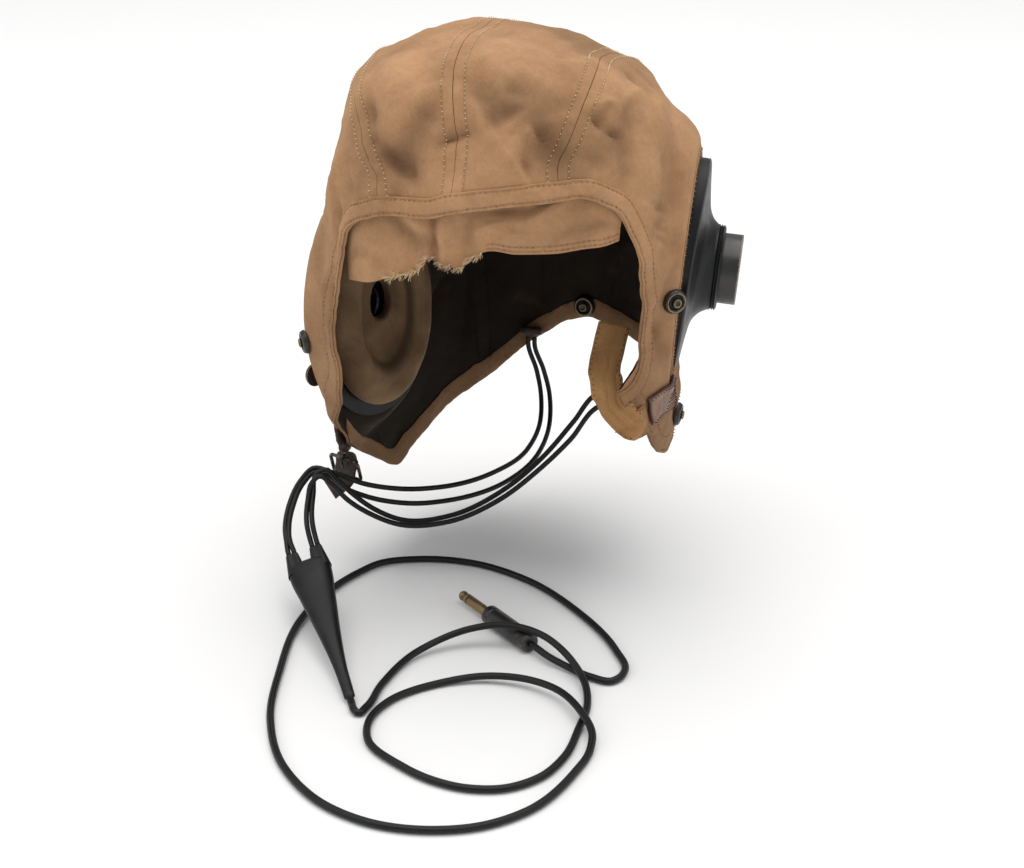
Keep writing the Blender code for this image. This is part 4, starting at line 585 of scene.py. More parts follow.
# Hollows and broad folds: degrees from the brow, run from the crown, spread, and depth
FOLD_TURNS = (24, -15, 34, 20, -38, 135, -122)
FOLD_RUN_SHARES = (0.33, 0.40, 0.45, 0.42, 0.47, 0.28, 0.72)
FOLD_SPREAD_SHARES = (0.07, 0.05, 0.05, 0.055, 0.05, 0.22, 0.33)
FOLD_DEPTHS = (-0.005, -0.004, -0.004, 0.0035, -0.003, -0.007, -0.024)
FOLD_CENTRE = -0.1000
# Creases: where each starts and ends, in degrees from the brow and shares of the height, the share of
# the height that it spreads over, and how far it stands up or sinks
CREASES = (
    ((2, 0.070), (8, 0.140), 0.011, 0.0022), ((9, 0.080), (13, 0.135), 0.015, -0.0020),
    ((-6, 0.158), (5, 0.133), 0.010, -0.0034), ((-11, 0.095), (-4, 0.040), 0.016, 0.0020),
    ((-4, 0.040), (8, 0.025), 0.016, 0.0018), ((21, 0.120), (25, 0.150), 0.009, 0.0024),
    ((24, 0.115), (28, 0.145), 0.011, -0.0024), ((16, 0.170), (19, 0.215), 0.010, 0.0026),
    ((19, 0.165), (22, 0.210), 0.013, -0.0028), ((13, 0.110), (20, 0.085), 0.016, -0.0026),
    ((-27, 0.178), (-11, 0.222), 0.017, -0.0042), ((-27, 0.203), (-10, 0.243), 0.014, 0.0028),
    ((87, 0.065), (77, 0.095), 0.009, -0.0016), ((77, 0.095), (58, 0.105), 0.011, 0.0020),
    ((44, 0.105), (47, 0.135), 0.010, -0.0032), ((47, 0.135), (55, 0.157), 0.010, -0.0028),
    ((42, 0.102), (58, 0.103), 0.012, 0.0026), ((66, 0.090), (56, 0.155), 0.034, -0.0030),
    ((56, 0.155), (50, 0.225), 0.034, -0.0030), ((91, 0.110), (69, 0.200), 0.034, 0.0024),
    ((69, 0.200), (63, 0.275), 0.030, 0.0018), ((62, 0.300), (71, 0.312), 0.007, -0.0016),
    ((60, 0.325), (68, 0.352), 0.007, -0.0016), ((61, 0.350), (68, 0.372), 0.006, -0.0013),
    ((67, 0.530), (69, 0.590), 0.013, -0.0030), ((69, 0.590), (77, 0.655), 0.013, -0.0024),
    ((71, 0.550), (79, 0.640), 0.012, 0.0020), ((-48, 0.450), (-54, 0.545), 0.015, 0.0024),
    ((-43, 0.420), (-48, 0.550), 0.012, -0.0022), ((-54, 0.825), (-36, 0.795), 0.011, -0.0026),
    ((-38, 0.230), (-33, 0.250), 0.011, 0.0022), ((-39, 0.105), (-30, 0.150), 0.022, -0.0026),
    ((-30, 0.150), (-31, 0.190), 0.020, -0.0022), ((-39, 0.045), (-24, 0.110), 0.030, 0.0022),
    ((-24, 0.110), (-20, 0.175), 0.028, 0.0018), ((-30, 0.268), (-16, 0.240), 0.014, 0.0018),
    ((-44, 0.225), (-62, 0.395), 0.034, 0.0022), ((-62, 0.395), (-57, 0.530), 0.030, 0.0020),
    ((-46, 0.265), (-43, 0.395), 0.018, -0.0020), ((-20, 0.060), (8, 0.055), 0.020, -0.0016),
    ((30, 0.040), (60, 0.050), 0.022, 0.0014), ((150, 0.080), (166, 0.330), 0.030, -0.0030),
    ((-150, 0.100), (-165, 0.380), 0.034, -0.0030), ((128, 0.180), (112, 0.300), 0.020, 0.0022),
    ((-120, 0.200), (-105, 0.330), 0.020, 0.0022), ((180, 0.300), (164, 0.560), 0.026, 0.0024),
    ((-140, 0.420), (-165, 0.560), 0.018, -0.0022), ((140, 0.500), (160, 0.600), 0.016, -0.0024),
    ((-148, 0.640), (-130, 0.800), 0.018, 0.0022), ((148, 0.340), (135, 0.420), 0.014, -0.0020),
    ((3, 0.085), (14, 0.062), 0.040, -0.0026), ((14, 0.062), (26, 0.060), 0.036, -0.0024),
    ((9, 0.155), (28, 0.082), 0.022, 0.0020), ((-16, 0.105), (-5, 0.118), 0.036, -0.0026),
    ((18, 0.155), (37, 0.190), 0.040, -0.0030), ((37, 0.190), (47, 0.175), 0.030, -0.0024),
    ((21, 0.125), (41, 0.108), 0.018, 0.0018), ((-28, 0.205), (-12, 0.222), 0.032, -0.0026),
)
# Fine waves all over the cloth: how far apart they run and how high they stand
RIPPLES = ((0.058, 0.0006), (0.041, 0.0004), (0.029, 0.0003), (0.020, 0.0002), (0.0135, 0.00012),
           (0.0095, 0.00006))
CREASE_FACTOR = 1.5
RIPPLE_SEED = 11
LEFT_HEM_TURNS = (0, 8, 19, 30, 37.5, 42.5, 48, 51.5, 53, 55.5, 57.5, 60, 60.5, 60.5, 58.5, 56, 51.5, 57,
                  66, 76, 89, 106, 126, 146, 161, 166, 170, 176, 180)
LEFT_HEM_SHARES = (0.275, 0.265, 0.255, 0.25, 0.25, 0.265, 0.29, 0.335, 0.355, 0.4, 0.455, 0.52, 0.56,
                   0.595, 0.625, 0.645, 0.66, 0.695, 0.765, 0.835, 0.865, 0.845, 0.8, 0.755, 0.735, 0.73,
                   0.735, 0.75, 0.77)
RIGHT_HEM_TURNS = (0, 5, 14.5, 21, 27, 32.5, 37.5, 39.5, 41.5, 44.5, 47, 47.5, 47.5, 49, 52, 59, 66, 74, 91,
                   100.5, 112, 120.5, 128.5, 140, 155.5, 164, 173, 180)
RIGHT_HEM_SHARES = (0.275, 0.285, 0.29, 0.295, 0.31, 0.325, 0.355, 0.39, 0.455, 0.5, 0.565, 0.605, 0.64,
                    0.685, 0.73, 0.79, 0.84, 0.89, 0.965, 1.01, 1.055, 1.035, 1.01, 0.96, 0.895, 0.85, 0.8,
                    0.77)
SEAM_START, FLAP_CORNER, SEAM_END = 3, 16, 24
CENTRE_SEAM_SHARES = ((0.004, -0.4), (-0.017, -0.293), (-0.033, -0.181), (-0.037, -0.046), (-0.02, 0.15),
                      (0, 0.45))
LEFT_SEAM_SHARES = ((0.216, -0.372), (0.211, -0.306), (0.204, -0.219), (0.214, -0.03), (0.235, 0.2),
                    (0.258, 0.5))
RIGHT_SEAM_SHARES = ((0.19, -0.41), (0.215, -0.372), (0.24, -0.261), (0.262, -0.1), (0.27, 0.1),
                     (0.28, 0.35), (0.32, 0.6))
SEAM_GAP = 0.0003
TAPE_WIDTH, FACING_WIDTH = 0.0135, 0.012
CUP_HALF_HEIGHT, CUP_HALF_WIDTH, CUP_FLANGE = 0.0625, 0.0425, 0.0060
EAR_HOLE_GAP, EAR_FLAT, EAR_EASE_SHARE, EAR_FRONT_EASE_SHARE = 0.0006, 0.0075, 1.35, 1.13
# Each ear: how far out, back and up its cup sits, and how it is turned back and tipped, in degrees
EAR_PLACES = {1: (0.1025, 0.017, -0.1350, 6, 4.5), -1: (0.0857, -0.004, -0.1708, 28, 3)}
SIDE_NAMES = {1: "left", -1: "right"}
SHELL_ROWS, CROWN_COLUMNS, SIDE_COLUMNS = 141, 57, 41
FACE_STEPS, NECK_STEPS = 100, 110


def ear_frame(side, out, back, height, yaw, tip):
    """Axes of an ear: +X out of the cup, +Z up, at the middle of its hole in the cloth."""
    heading = math.radians(yaw) if side > 0 else math.pi - math.radians(yaw)
    turn = Matrix.Rotation(heading, 4, "Z") @ Matrix.Rotation(math.radians(tip), 4, "Y")
    return Matrix.Translation((side * out, back, height)) @ turn


EARS = {side: ear_frame(side, *place) for side, place in EAR_PLACES.items()}
LEVELS = np.linspace(0, 1, len(DROP_SHARES))
FINE_RUNS = np.linspace(0, 1.1, 221)
FINE_DROPS = hermite(LEVELS, DROP_SHARES, FINE_RUNS, flat_start=True)


def ear_reach(points, side):
    """Points in an ear's own axes, and how far out each lies as a share of the cup's flat seat."""
    turn = np.array(EARS[side])
    local = (points - turn[:3, 3]) @ turn[:3, :3]
    across = local[..., 1] / (CUP_HALF_WIDTH + EAR_FLAT)
    upward = local[..., 2] / (CUP_HALF_HEIGHT + EAR_FLAT)
    reach = np.maximum(np.hypot(across, upward), 0.00001)
    return local, reach, np.clip(-side * across / reach, 0, 1)


def settled(points, side):
    """The cloth lies flat on the rim of the ear cup and eases away from it."""
    local, reach, forward = ear_reach(points, side)
    end = EAR_EASE_SHARE - (EAR_EASE_SHARE - EAR_FRONT_EASE_SHARE) * forward ** 2
    ease = np.clip((end - reach) / (end - 1), 0, 1)
    weight = ease ** 2 * (3 - 2 * ease) * (side * points[..., 0] > 0)
    return points - (local[..., 0] * weight)[..., None] * np.array(EARS[side])[:3, 0]


def shell_fold(flat):
    """Depth of the broad folds at places on the flat pattern."""
    fold = 0
    for degrees, away, width, depth in zip(FOLD_TURNS, FOLD_RUN_SHARES, FOLD_SPREAD_SHARES, FOLD_DEPTHS):
        angle = math.radians(degrees)
        offset = flat - away * np.array((math.sin(angle), -math.cos(angle)))
        fold = fold + depth * np.exp(-np.sum(offset ** 2, axis=-1) / width ** 2)
    return fold


def shell_points(flat):
    """Places on the shell's flat pattern, turned about the crown and run down from it, in space."""
    flat = np.asarray(flat, float)
    turn = np.arctan2(flat[..., 0], -flat[..., 1])
    run = np.maximum(np.hypot(flat[..., 0], flat[..., 1]), 0.00001)
    widths = np.where(np.sin(turn) >= 0, hermite(LEVELS, LEFT_WIDTH_SHARES, run),
                      hermite(LEVELS, RIGHT_WIDTH_SHARES, run)) * SHELL_HALF_WIDTH
    depths = np.where(np.cos(turn) >= 0, hermite(LEVELS, FRONT_SHARES, run) * SHELL_FRONT,
                      hermite(LEVELS, BACK_SHARES, run) * SHELL_BACK)
    spread = (np.abs(np.sin(turn)) / widths) ** SHELL_POWER + (np.abs(np.cos(turn)) / depths) ** SHELL_POWER
    radius = spread ** (-1 / SHELL_POWER)
    drop = SHELL_HEIGHT * hermite(LEVELS, DROP_SHARES, run, flat_start=True)
    points = np.stack([radius * np.sin(turn), -radius * np.cos(turn), CLOTH - drop], axis=-1)
    points = points + unit(points - (0, 0, FOLD_CENTRE)) * np.asarray(shell_fold(flat))[..., None]
    return settled(settled(points, 1), -1)


def flat_place(degrees, share):
    """Place on the flat pattern from degrees off the brow, to the left, and share of the height."""
    run = np.interp(share, FINE_DROPS, FINE_RUNS)
    angle = np.radians(degrees)
    return np.stack([run * np.sin(angle), -run * np.cos(angle)], axis=-1)


chance = np.random.default_rng(RIPPLE_SEED)
waves = [(unit(chance.normal(size=3)) * math.tau / length, chance.uniform(0, math.tau), height, number % 2)
         for length, height in RIPPLES for number in range(3)]
crease_lines = [(flat_place(*start), flat_place(*end), width, depth) for start, end, width, depth in CREASES]


def cloth_relief(flat, points):
    """How far the creases and ripples lift the cloth; it lies quiet on the rims of the ear cups."""
    relief = np.zeros(flat.shape[:-1])
    for start, end, width, depth in crease_lines:
        way = end - start
        share = np.clip(((flat - start) @ way) / (way @ way), 0, 1)
        away = np.linalg.norm(flat - start - share[..., None] * way, axis=-1)
        taper = 0.25 + 0.75 * np.sin(math.pi * share)
        relief = relief + CREASE_FACTOR * depth * taper * np.exp(-(away / width) ** 1.5)
    for way, phase, height, ridged in waves:
        wave = np.sin(points @ way + phase)
        relief = relief + height * ((1 - np.abs(wave)) * 1.4 - 0.5 if ridged else wave * 0.8)
    calm = 1
    for side in EARS:
        _, reach, _ = ear_reach(points, side)
        calm = calm * np.where(side * points[..., 0] > 0, np.clip((reach - 0.98) / 0.25, 0.06, 1), 1)
    return relief * calm


def slopes_of(surface, flat, nudge=0.002):
    """How a surface's points move along the two directions of its flat pattern."""
    flat = np.asarray(flat, float)
    return [(surface(flat + np.array(step)) - surface(flat - np.array(step))) / (2 * nudge)
            for step in ((nudge, 0), (0, nudge))]


def cloth_points(flat):
    """The creased outside of the cloth over places on its flat pattern."""
    flat = np.asarray(flat, float)
    points = shell_points(flat)
    normal = unit(np.cross(*slopes_of(shell_points, flat, 0.004)))
    return points + normal * cloth_relief(flat, points)[..., None]


def cloth_normals(flat):
    """Outward directions of the creased cloth."""
    return unit(np.cross(*slopes_of(cloth_points, flat)))


def flat_under(points):
    """Place on the flat pattern nearest below points in space."""
    degrees = np.degrees(np.arctan2(points[..., 0], -points[..., 1]))
    flat = flat_place(degrees, (CLOTH - points[..., 2]) / SHELL_HEIGHT)
    for _ in range(8):
        slopes = np.stack(slopes_of(shell_points, flat), axis=-1)
        flat = flat + (np.linalg.pinv(slopes) @ (points - shell_points(flat))[..., None])[..., 0]
    return flat


HEMS = {1: flat_place(np.array(LEFT_HEM_TURNS, float), np.array(LEFT_HEM_SHARES)),
        -1: flat_place(-np.array(RIGHT_HEM_TURNS, float), np.array(RIGHT_HEM_SHARES))}
SEAM_MIDDLES = {1: np.array(LEFT_SEAM_SHARES), -1: np.array(RIGHT_SEAM_SHARES) * (-1, 1)}
row_shares, column_shares = np.linspace(0, 1, SHELL_ROWS), np.linspace(0, 1, CROWN_COLUMNS)
seam_gap_share = SEAM_GAP / SHELL_HEIGHT
seam_lines = {side: spline([HEMS[side][SEAM_START], *SEAM_MIDDLES[side], HEMS[side][SEAM_END]],
                           shares=row_shares) for side in EARS}
centre_line = spline([HEMS[1][0], *CENTRE_SEAM_SHARES, HEMS[1][-1]], shares=row_shares)


def crown_flat(side):
    """Flat places of a crown panel: rows from brow to nape, columns from the centre to the seam."""
    away = np.array((side * seam_gap_share / 2, 0))
    centre, seam = centre_line + away, seam_lines[side] - away
    brow = spline(HEMS[side], 0, SEAM_START, shares=column_shares)
    nape = spline(HEMS[side][::-1], 0, len(HEMS[side]) - 1 - SEAM_END, shares=column_shares)
    brow, nape = brow + np.outer(1 - 2 * column_shares, away), nape + np.outer(1 - 2 * column_shares, away)
    u, v = column_shares[None, :, None], row_shares[:, None, None]
    corners = (1 - v) * ((1 - u) * centre[0] + u * seam[0]) + v * ((1 - u) * centre[-1] + u * seam[-1])
    return (1 - u) * centre[:, None] + u * seam[:, None] + (1 - v) * brow[None] + v * nape[None] - corners


def side_flat(side):
    """Flat places of a side panel and what its hole misses: rows round the ear, columns outward."""
    away = np.array((side * seam_gap_share / 2, 0))
    hem = np.concatenate([spline(HEMS[side], SEAM_START, FLAP_CORNER, count=FACE_STEPS)[:-1],
                          spline(HEMS[side], FLAP_CORNER, SEAM_END, count=NECK_STEPS)])
    hem[0], hem[-1] = hem[0] + away, hem[-1] + away
    outline = np.concatenate([hem, (seam_lines[side] + away)[-2:0:-1]])
    local, _, _ = ear_reach(shell_points(outline), side)
    angle = np.arctan2(local[:, 1], local[:, 2])
    reach = 1 / np.hypot(np.sin(angle) / (CUP_HALF_WIDTH + EAR_HOLE_GAP),
                         np.cos(angle) / (CUP_HALF_HEIGHT + EAR_HOLE_GAP))
    turn = np.array(EARS[side])
    hole = np.stack([0 * reach, reach * np.sin(angle), reach * np.cos(angle)], axis=1)
    hole = hole @ turn[:3, :3].T + turn[:3, 3]
    hole_flat = flat_under(hole)
    levels = np.linspace(0, 1, SIDE_COLUMNS)[None, :, None]
    return (hole_flat[:, None] * (1 - levels) + outline[:, None] * levels,
            (hole - shell_points(hole_flat))[:, None] * (1 - levels) ** 2)


def sheet_faces(rows, cols, ring=False):
    """Faces of a closed sheet of two layers, and which of them lie on its inner side."""
    row, col = np.meshgrid(np.arange(rows if ring else rows - 1), np.arange(cols - 1), indexing="ij")
    after, layer = (row + 1) % rows, rows * cols
    a, b, c, d = row * cols + col, after * cols + col, after * cols + col + 1, row * cols + col + 1
    outer = np.stack([a, b, c, d], axis=-1).reshape(-1, 4)
    inner = np.stack([a, d, c, b], axis=-1).reshape(-1, 4) + layer
    edges = []
    for end in (0, cols - 1):
        a, b = row[:, 0] * cols + end, after[:, 0] * cols + end
        edges.append(np.stack([a, a + layer, b + layer, b], axis=-1))
    for end in () if ring else (0, rows - 1):
        a = end * cols + col[0]
        edges.append(np.stack([a, a + 1, a + 1 + layer, a + layer], axis=-1))
    edges = np.concatenate(edges)
    return np.concatenate([outer, edges, inner]), np.repeat((0, 0, 1), (len(outer), len(edges), len(inner)))


def sheet_piece(name, outer, inner, cut, finishes, ring=False, notes=None):
    """A closed sheet between two grids of points, its inner side in the last of its finishes."""
    rows, cols = outer.shape[:2]
    faces, inside = sheet_faces(rows, cols, ring)
    doubled = {note: np.concatenate([values.reshape(rows * cols, -1)] * 2).squeeze()
               for note, values in (notes or {}).items()}
    verts = np.concatenate([outer.reshape(-1, 3), inner.reshape(-1, 3)])
    return add_piece(name, verts, faces, finishes, cut=np.concatenate([cut.reshape(-1, 2)] * 2), notes=doubled,
                     face_finish=inside * (len(finishes) - 1), sharp=60)


# How much darker the cloth is painted toward the bottom of the flaps, as painted shade, and between which heights
LOW_SHADE_TONE, LOW_SHADE_FROM, LOW_SHADE_TO = 0.54, -0.095, -0.225


def drill_finish(name, lit, shade, seam_row):
    """Cotton drill, woven and sewn: faded colour, twill, puckers along seams, and painted shade in the hollows,
    toward the bottom and in the needle holes and joins of the seams.
    """
    look = Finish(name)
    cut = look.add("ShaderNodeUVMap", {"uv_map": "cut"}).outputs[0]
    stains = look.noise(42, 5, Distortion=0.8)
    warp, weft = [look.noise(1, 2, look.add("ShaderNodeMapping", None, {"Vector": cut, "Scale": stretch}).outputs[0])
                  for stretch in ((1500, 190, 1), (190, 1500, 1))]
    twill = look.add("ShaderNodeTexWave", {"bands_direction": "DIAGONAL"},
                     {"Vector": cut, "Scale": 190, "Distortion": 1.2, "Detail": 2, "Detail Scale": 2}).outputs["Fac"]
    weave = look.maths("MULTIPLY_ADD", twill, 0.16, look.maths("ADD", warp, weft))
    base = look.mixed(look.ranged(look.noise(17, 6, Roughness=0.6), 0.34, 0.66), shade, lit)
    base = look.mixed(look.ranged(stains, 0.56, 0.78, 0, 0.30), base, "#6C5140")
    level = look.add("ShaderNodeSeparateXYZ", None, {0: look.spot}).outputs["Z"]
    tone = look.ranged(look.noise(380, 3), 0.25, 0.75, 0.93, 1.06)
    for factor in (look.ranged(weave, 0.7, 1.5, 0.93, 1.05),
                   # Painted shade in the cloth's hollows and creases, from how deep each one sinks
                   look.maths("MULTIPLY_ADD", look.noted("hollow"), -0.42, 1.0),
                   # Painted shade, darker toward the bottom of the flaps
                   look.ranged(level, LOW_SHADE_TO, LOW_SHADE_FROM, LOW_SHADE_TONE, 1)):
        tone = look.maths("MULTIPLY", tone, factor)
    # Painted shade in the needle holes of each stitch row and in the join at each seam's edge, broken up by noise
    rows = []
    for distance in look.add("ShaderNodeSeparateXYZ", None, {0: look.noted("sewn", "Vector")}).outputs:
        away = look.maths("ABSOLUTE", look.maths("SUBTRACT", distance, seam_row))
        rows += [look.ranged(away, 0, 0.0011, 1, 0, interpolation_type="SMOOTHSTEP"),
                 look.ranged(distance, 0.0001, 0.0007, 0.3, 0, interpolation_type="SMOOTHSTEP")]
    dark = rows[0]
    for row in rows[1:]:
        dark = look.maths("MAXIMUM", dark, row)
    seam_shade = look.maths("MULTIPLY", dark, look.noise(330, 2))
    tone = look.maths("MULTIPLY", tone, look.maths("MULTIPLY_ADD", seam_shade, -0.42, 1.0))
    raised = look.raised(look.maths("MULTIPLY_ADD", dark, -1.6, weave), 0.42, 0.00022)
    return look.coated({"Base Color": look.toned(base, tone), "Roughness": 0.88, "Specular IOR Level": 0.22,
                        "Sheen Weight": 0.10, "Sheen Roughness": 0.45, "Sheen Tint": linear("#E8C8A0"),
                        "Normal": look.raised(stains, 0.3, 0.0010, raised)})


# Cotton drill: matte tan cloth, sun-faded in clouds 60 mm wide, with painted shade in its hollows, along its seams
# and toward the flaps' ends. The twill line is drawn at 1.6 mm and the threads at 0.7 mm, three times the real ones,
# so that they show.
SEAM_ROW, SEAM_RISE = 0.0060, 0.00035
drill = drill_finish("tan cotton drill", "#C0946D", "#9C7654", SEAM_ROW)
# The same weave dyed dark brown for the lining, soft and unfaded
lining = drill_finish("brown cotton lining", "#33291F", "#241C16", 0.05)

sewn_rows = []


def sew(shade, rows):
    """Note rows of stitches in one shade of thread, each row as its points and its normals."""
    sewn_rows.extend((shade, *row) for row in rows)


# How deep a hollow is when its painted shade is at its darkest, and a distance from a seam too far for its stitches
SHADED_HOLLOW_DEPTH, FAR = 0.006, 0.1
panels = {}


def column_runs(points):
    """Distances along each row of a grid from its first column and from its last."""
    steps = np.linalg.norm(np.diff(points, axis=1), axis=2)
    first = np.concatenate([np.zeros((len(points), 1)), np.cumsum(steps, axis=1)], axis=1)
    return first, first[:, -1:] - first


def seam_rise(run):
    """The doubled cloth beside a seam stands a little proud, as far out as its outer row of stitches."""
    step = np.clip((SEAM_ROW + 0.0012 - run) / 0.0010, 0, 1)
    return SEAM_RISE * step ** 2 * (3 - 2 * step)


for side, label in SIDE_NAMES.items():
    for kind in ("crown", "side"):
        flat, missed = (crown_flat(side), 0) if kind == "crown" else side_flat(side)
        points, normals = cloth_points(flat) + missed, cloth_normals(flat)
        first, last = column_runs(points)
        if kind == "crown":
            rise = seam_rise(first) + seam_rise(last)
            sewn = np.stack([first, last, 0 * first + FAR], axis=-1)
        else:
            on_seam = (np.arange(len(points)) > FACE_STEPS + NECK_STEPS)[:, None]
            rise = np.where(on_seam, seam_rise(last), 0)
            sewn = np.stack([np.where(on_seam, last, FAR), 0 * first + FAR, 0 * first + FAR], axis=-1)
        points = points + normals * rise[..., None]
        panels[kind, side] = points, normals
        fold = shell_fold(flat)
        # Painted shade: the cloth is noted darker where its creases and broad folds sink
        relief = cloth_relief(flat, points) + fold * (np.abs(fold) < SHADED_HOLLOW_DEPTH)
        made = sheet_piece(f"{kind}_cloth_{label}", points, points - normals * CLOTH, flat * SHELL_HEIGHT,
                           [drill, lining], ring=kind == "side",
                           notes={"sewn": sewn, "hollow": np.clip(-relief / SHADED_HOLLOW_DEPTH, 0, 1)})
        hand_in(made, "helmet", "tan_cotton", f"{kind}_panel_{label}")

# Ear cups
# Moulded rubber cups, an oval bowl that rises to a round neck with two ribs, gripping the receiver; the
# flange lies under the cloth, and the receiver can be pulled out of the neck.
CUP_FLANGE_IN, CUP_FLANGE_THICKNESS, CUP_WALL = 0.0055, 0.0025, 0.0024
CUP_RIM, CUP_RIM_SLOPE, CUP_ROUNDING = 0.0040, 0.0027, 0.0012
CUP_RISE_SHARES = ((0, 0.01), (0.08, 0.1), (0.3, 0.17), (0.58, 0.27), (0.78, 0.38), (0.92, 0.62), (1, 0.92))
CUP_SEAT_GAP = 0.0009
CUP_SIDES, CUP_ROWS = 112, 44
NECK_HEIGHT, NECK_RADIUS, NECK_TOP, NECK_DEPTH = 0.0168, 0.0248, 0.0206, 0.0078
NECK_RIB, RECEIVER_RADIUS = 0.0009, 0.0203


def oval(half_height, half_width, out, slope=0, steps=CUP_SIDES):
    """A closed oval round an ear's axis, at a distance out that leans with the slope."""
    turn = np.linspace(0, math.tau, steps, endpoint=False)
    return np.stack([out + slope * np.cos(turn), half_width * np.sin(turn), half_height * np.cos(turn)], axis=1)


height, width, bore = CUP_HALF_HEIGHT, CUP_HALF_WIDTH, RECEIVER_RADIUS + GAP
seat = -CLOTH - CUP_SEAT_GAP
rise_levels = np.linspace(0, 1, len(CUP_RISE_SHARES))
rise_shares = hermite(rise_levels, CUP_RISE_SHARES, np.linspace(0, 1, CUP_ROWS))


def cup_bowl(inset):
    """Rings of the bowl from its rim to the foot of the neck."""
    return [oval(height + (NECK_RADIUS - height) * toward - inset, width + (NECK_RADIUS - width) * toward - inset,
                 CUP_RIM + (NECK_HEIGHT - CUP_RIM) * up - inset, CUP_RIM_SLOPE * (1 - up))
            for toward, up in rise_shares]


sections = [oval(height + CUP_FLANGE, width + CUP_FLANGE, seat), oval(height + 0.0005, width + 0.0005, seat),
            oval(height, width, seat + 0.0005), oval(height, width, 0, CUP_RIM_SLOPE * 0.4),
            oval(height, width, CUP_RIM - 2 * CUP_ROUNDING, CUP_RIM_SLOPE),
            oval(height - 0.0002, width - 0.0002, CUP_RIM - 0.6 * CUP_ROUNDING, CUP_RIM_SLOPE)]
sections += cup_bowl(0)
for place in np.linspace(0, 1, 27)[1:]:
    out = NECK_HEIGHT + (NECK_TOP - 0.0004 - NECK_HEIGHT) * place
    radius = NECK_RADIUS - NECK_RIB * math.cos(place * math.tau * 2.5 + math.pi) * 0.5 - NECK_RIB * 0.5
    sections.append(oval(radius, radius, out))
sections += [oval(radius, radius, out) for radius, out in (
    (NECK_RADIUS - 0.0016, NECK_TOP), (bore + 0.0008, NECK_TOP), (bore + 0.0002, NECK_TOP - 0.0003),
    (bore, NECK_TOP - 0.0010), (bore, NECK_TOP - NECK_DEPTH))]
sections += cup_bowl(CUP_WALL)[::-4][2:]
sections += [oval(height + wider, width + wider, out) for wider, out in (
    (-CUP_WALL, seat), (-CUP_FLANGE_IN, seat), (-CUP_FLANGE_IN, seat - CUP_FLANGE_THICKNESS),
    (CUP_FLANGE, seat - CUP_FLANGE_THICKNESS))]
for side, label in SIDE_NAMES.items():
    verts, faces = round_skin(sections, loop=True)
    made = add_piece("rubber_cup_" + label, verts, faces, [rubber], frame=EARS[side], sharp=50)
    hand_in(made, "helmet", "black_rubber", "ear_cup_" + label)

# Ear pads
# Chamois leather sewn over felt: a crowned oval cushion, drawn in round its edge and dished round the
# tear-shaped hole that lets the sound through.
PAD_HALF_HEIGHT, PAD_HALF_WIDTH = 0.0605, 0.0405
PAD_DISH_HALF_HEIGHT, PAD_DISH_HALF_WIDTH = 0.0360, 0.0200
PAD_HOLE_RADIUS, PAD_HOLE_LIFT, PAD_TEAR_SHARE = 0.0088, 0.0030, 0.55
PAD_SIDES = 120
# Its section: how far in from the outer edge to the dish's edge and on to the hole, and how deep
PAD_SECTION = ((0.0030, 0), (0.0006, 0.0014), (0, 0.0040), (0.0002, 0.0070), (0.0016, 0.0098), (0.0045, 0.0125),
               (0.0090, 0.0143), (0.0135, 0.0148), (0.0175, 0.0140))
DISH_SECTION = ((0, 0.0118), (0.05, 0.0094), (0.14, 0.0074), (0.35, 0.0062), (0.7, 0.0066), (0.93, 0.0070),
                (1, 0.0058), (1, 0.0010))


def chamois_finish(name, light, dark, handled_and_shaded):
    """Chamois: a soft nap, clouded, darker where it is handled, and painted darker in its creases as painted shade.
    """
    look = Finish(name)
    nap = look.noise(950, 4, Roughness=0.7)
    base = look.mixed(look.ranged(look.noise(36, 5, Distortion=0.4), 0.36, 0.66), dark, light)
    base = look.mixed(look.noted("worn"), base, handled_and_shaded)
    creased = look.raised(look.noise(190, 3, Distortion=1.0), 0.35, 0.0008, look.raised(nap, 0.35, 0.0003))
    return look.coated({"Base Color": look.toned(base, look.ranged(nap, 0.3, 0.7, 0.86, 1.10)), "Roughness": 0.92,
                        "Specular IOR Level": 0.2, "Sheen Weight": 0.3, "Sheen Roughness": 0.4,
                        "Sheen Tint": linear("#D8B98C"), "Normal": creased})


# Chamois: oil-tanned split hide with a soft nap, browned by use; the nap is drawn at 1 mm and its
# creases at 5 mm. The chin strap's is less used, and yellow.
chamois = chamois_finish("chamois leather", "#7E664C", "#5F4933", "#453426")
pale_chamois = chamois_finish("yellow chamois leather", "#AE8356", "#8C6640", "#5E432E")

turn = np.linspace(0, math.tau, PAD_SIDES, endpoint=False)
tear = PAD_HOLE_RADIUS * (1 + PAD_TEAR_SHARE * np.clip(np.cos(turn), 0, 1) ** 3)
hole = np.stack([tear * np.cos(turn) + PAD_HOLE_LIFT, tear * np.sin(turn) * 0.9], axis=1)
dish = np.stack([PAD_DISH_HALF_HEIGHT * np.cos(turn), PAD_DISH_HALF_WIDTH * np.sin(turn)], axis=1)
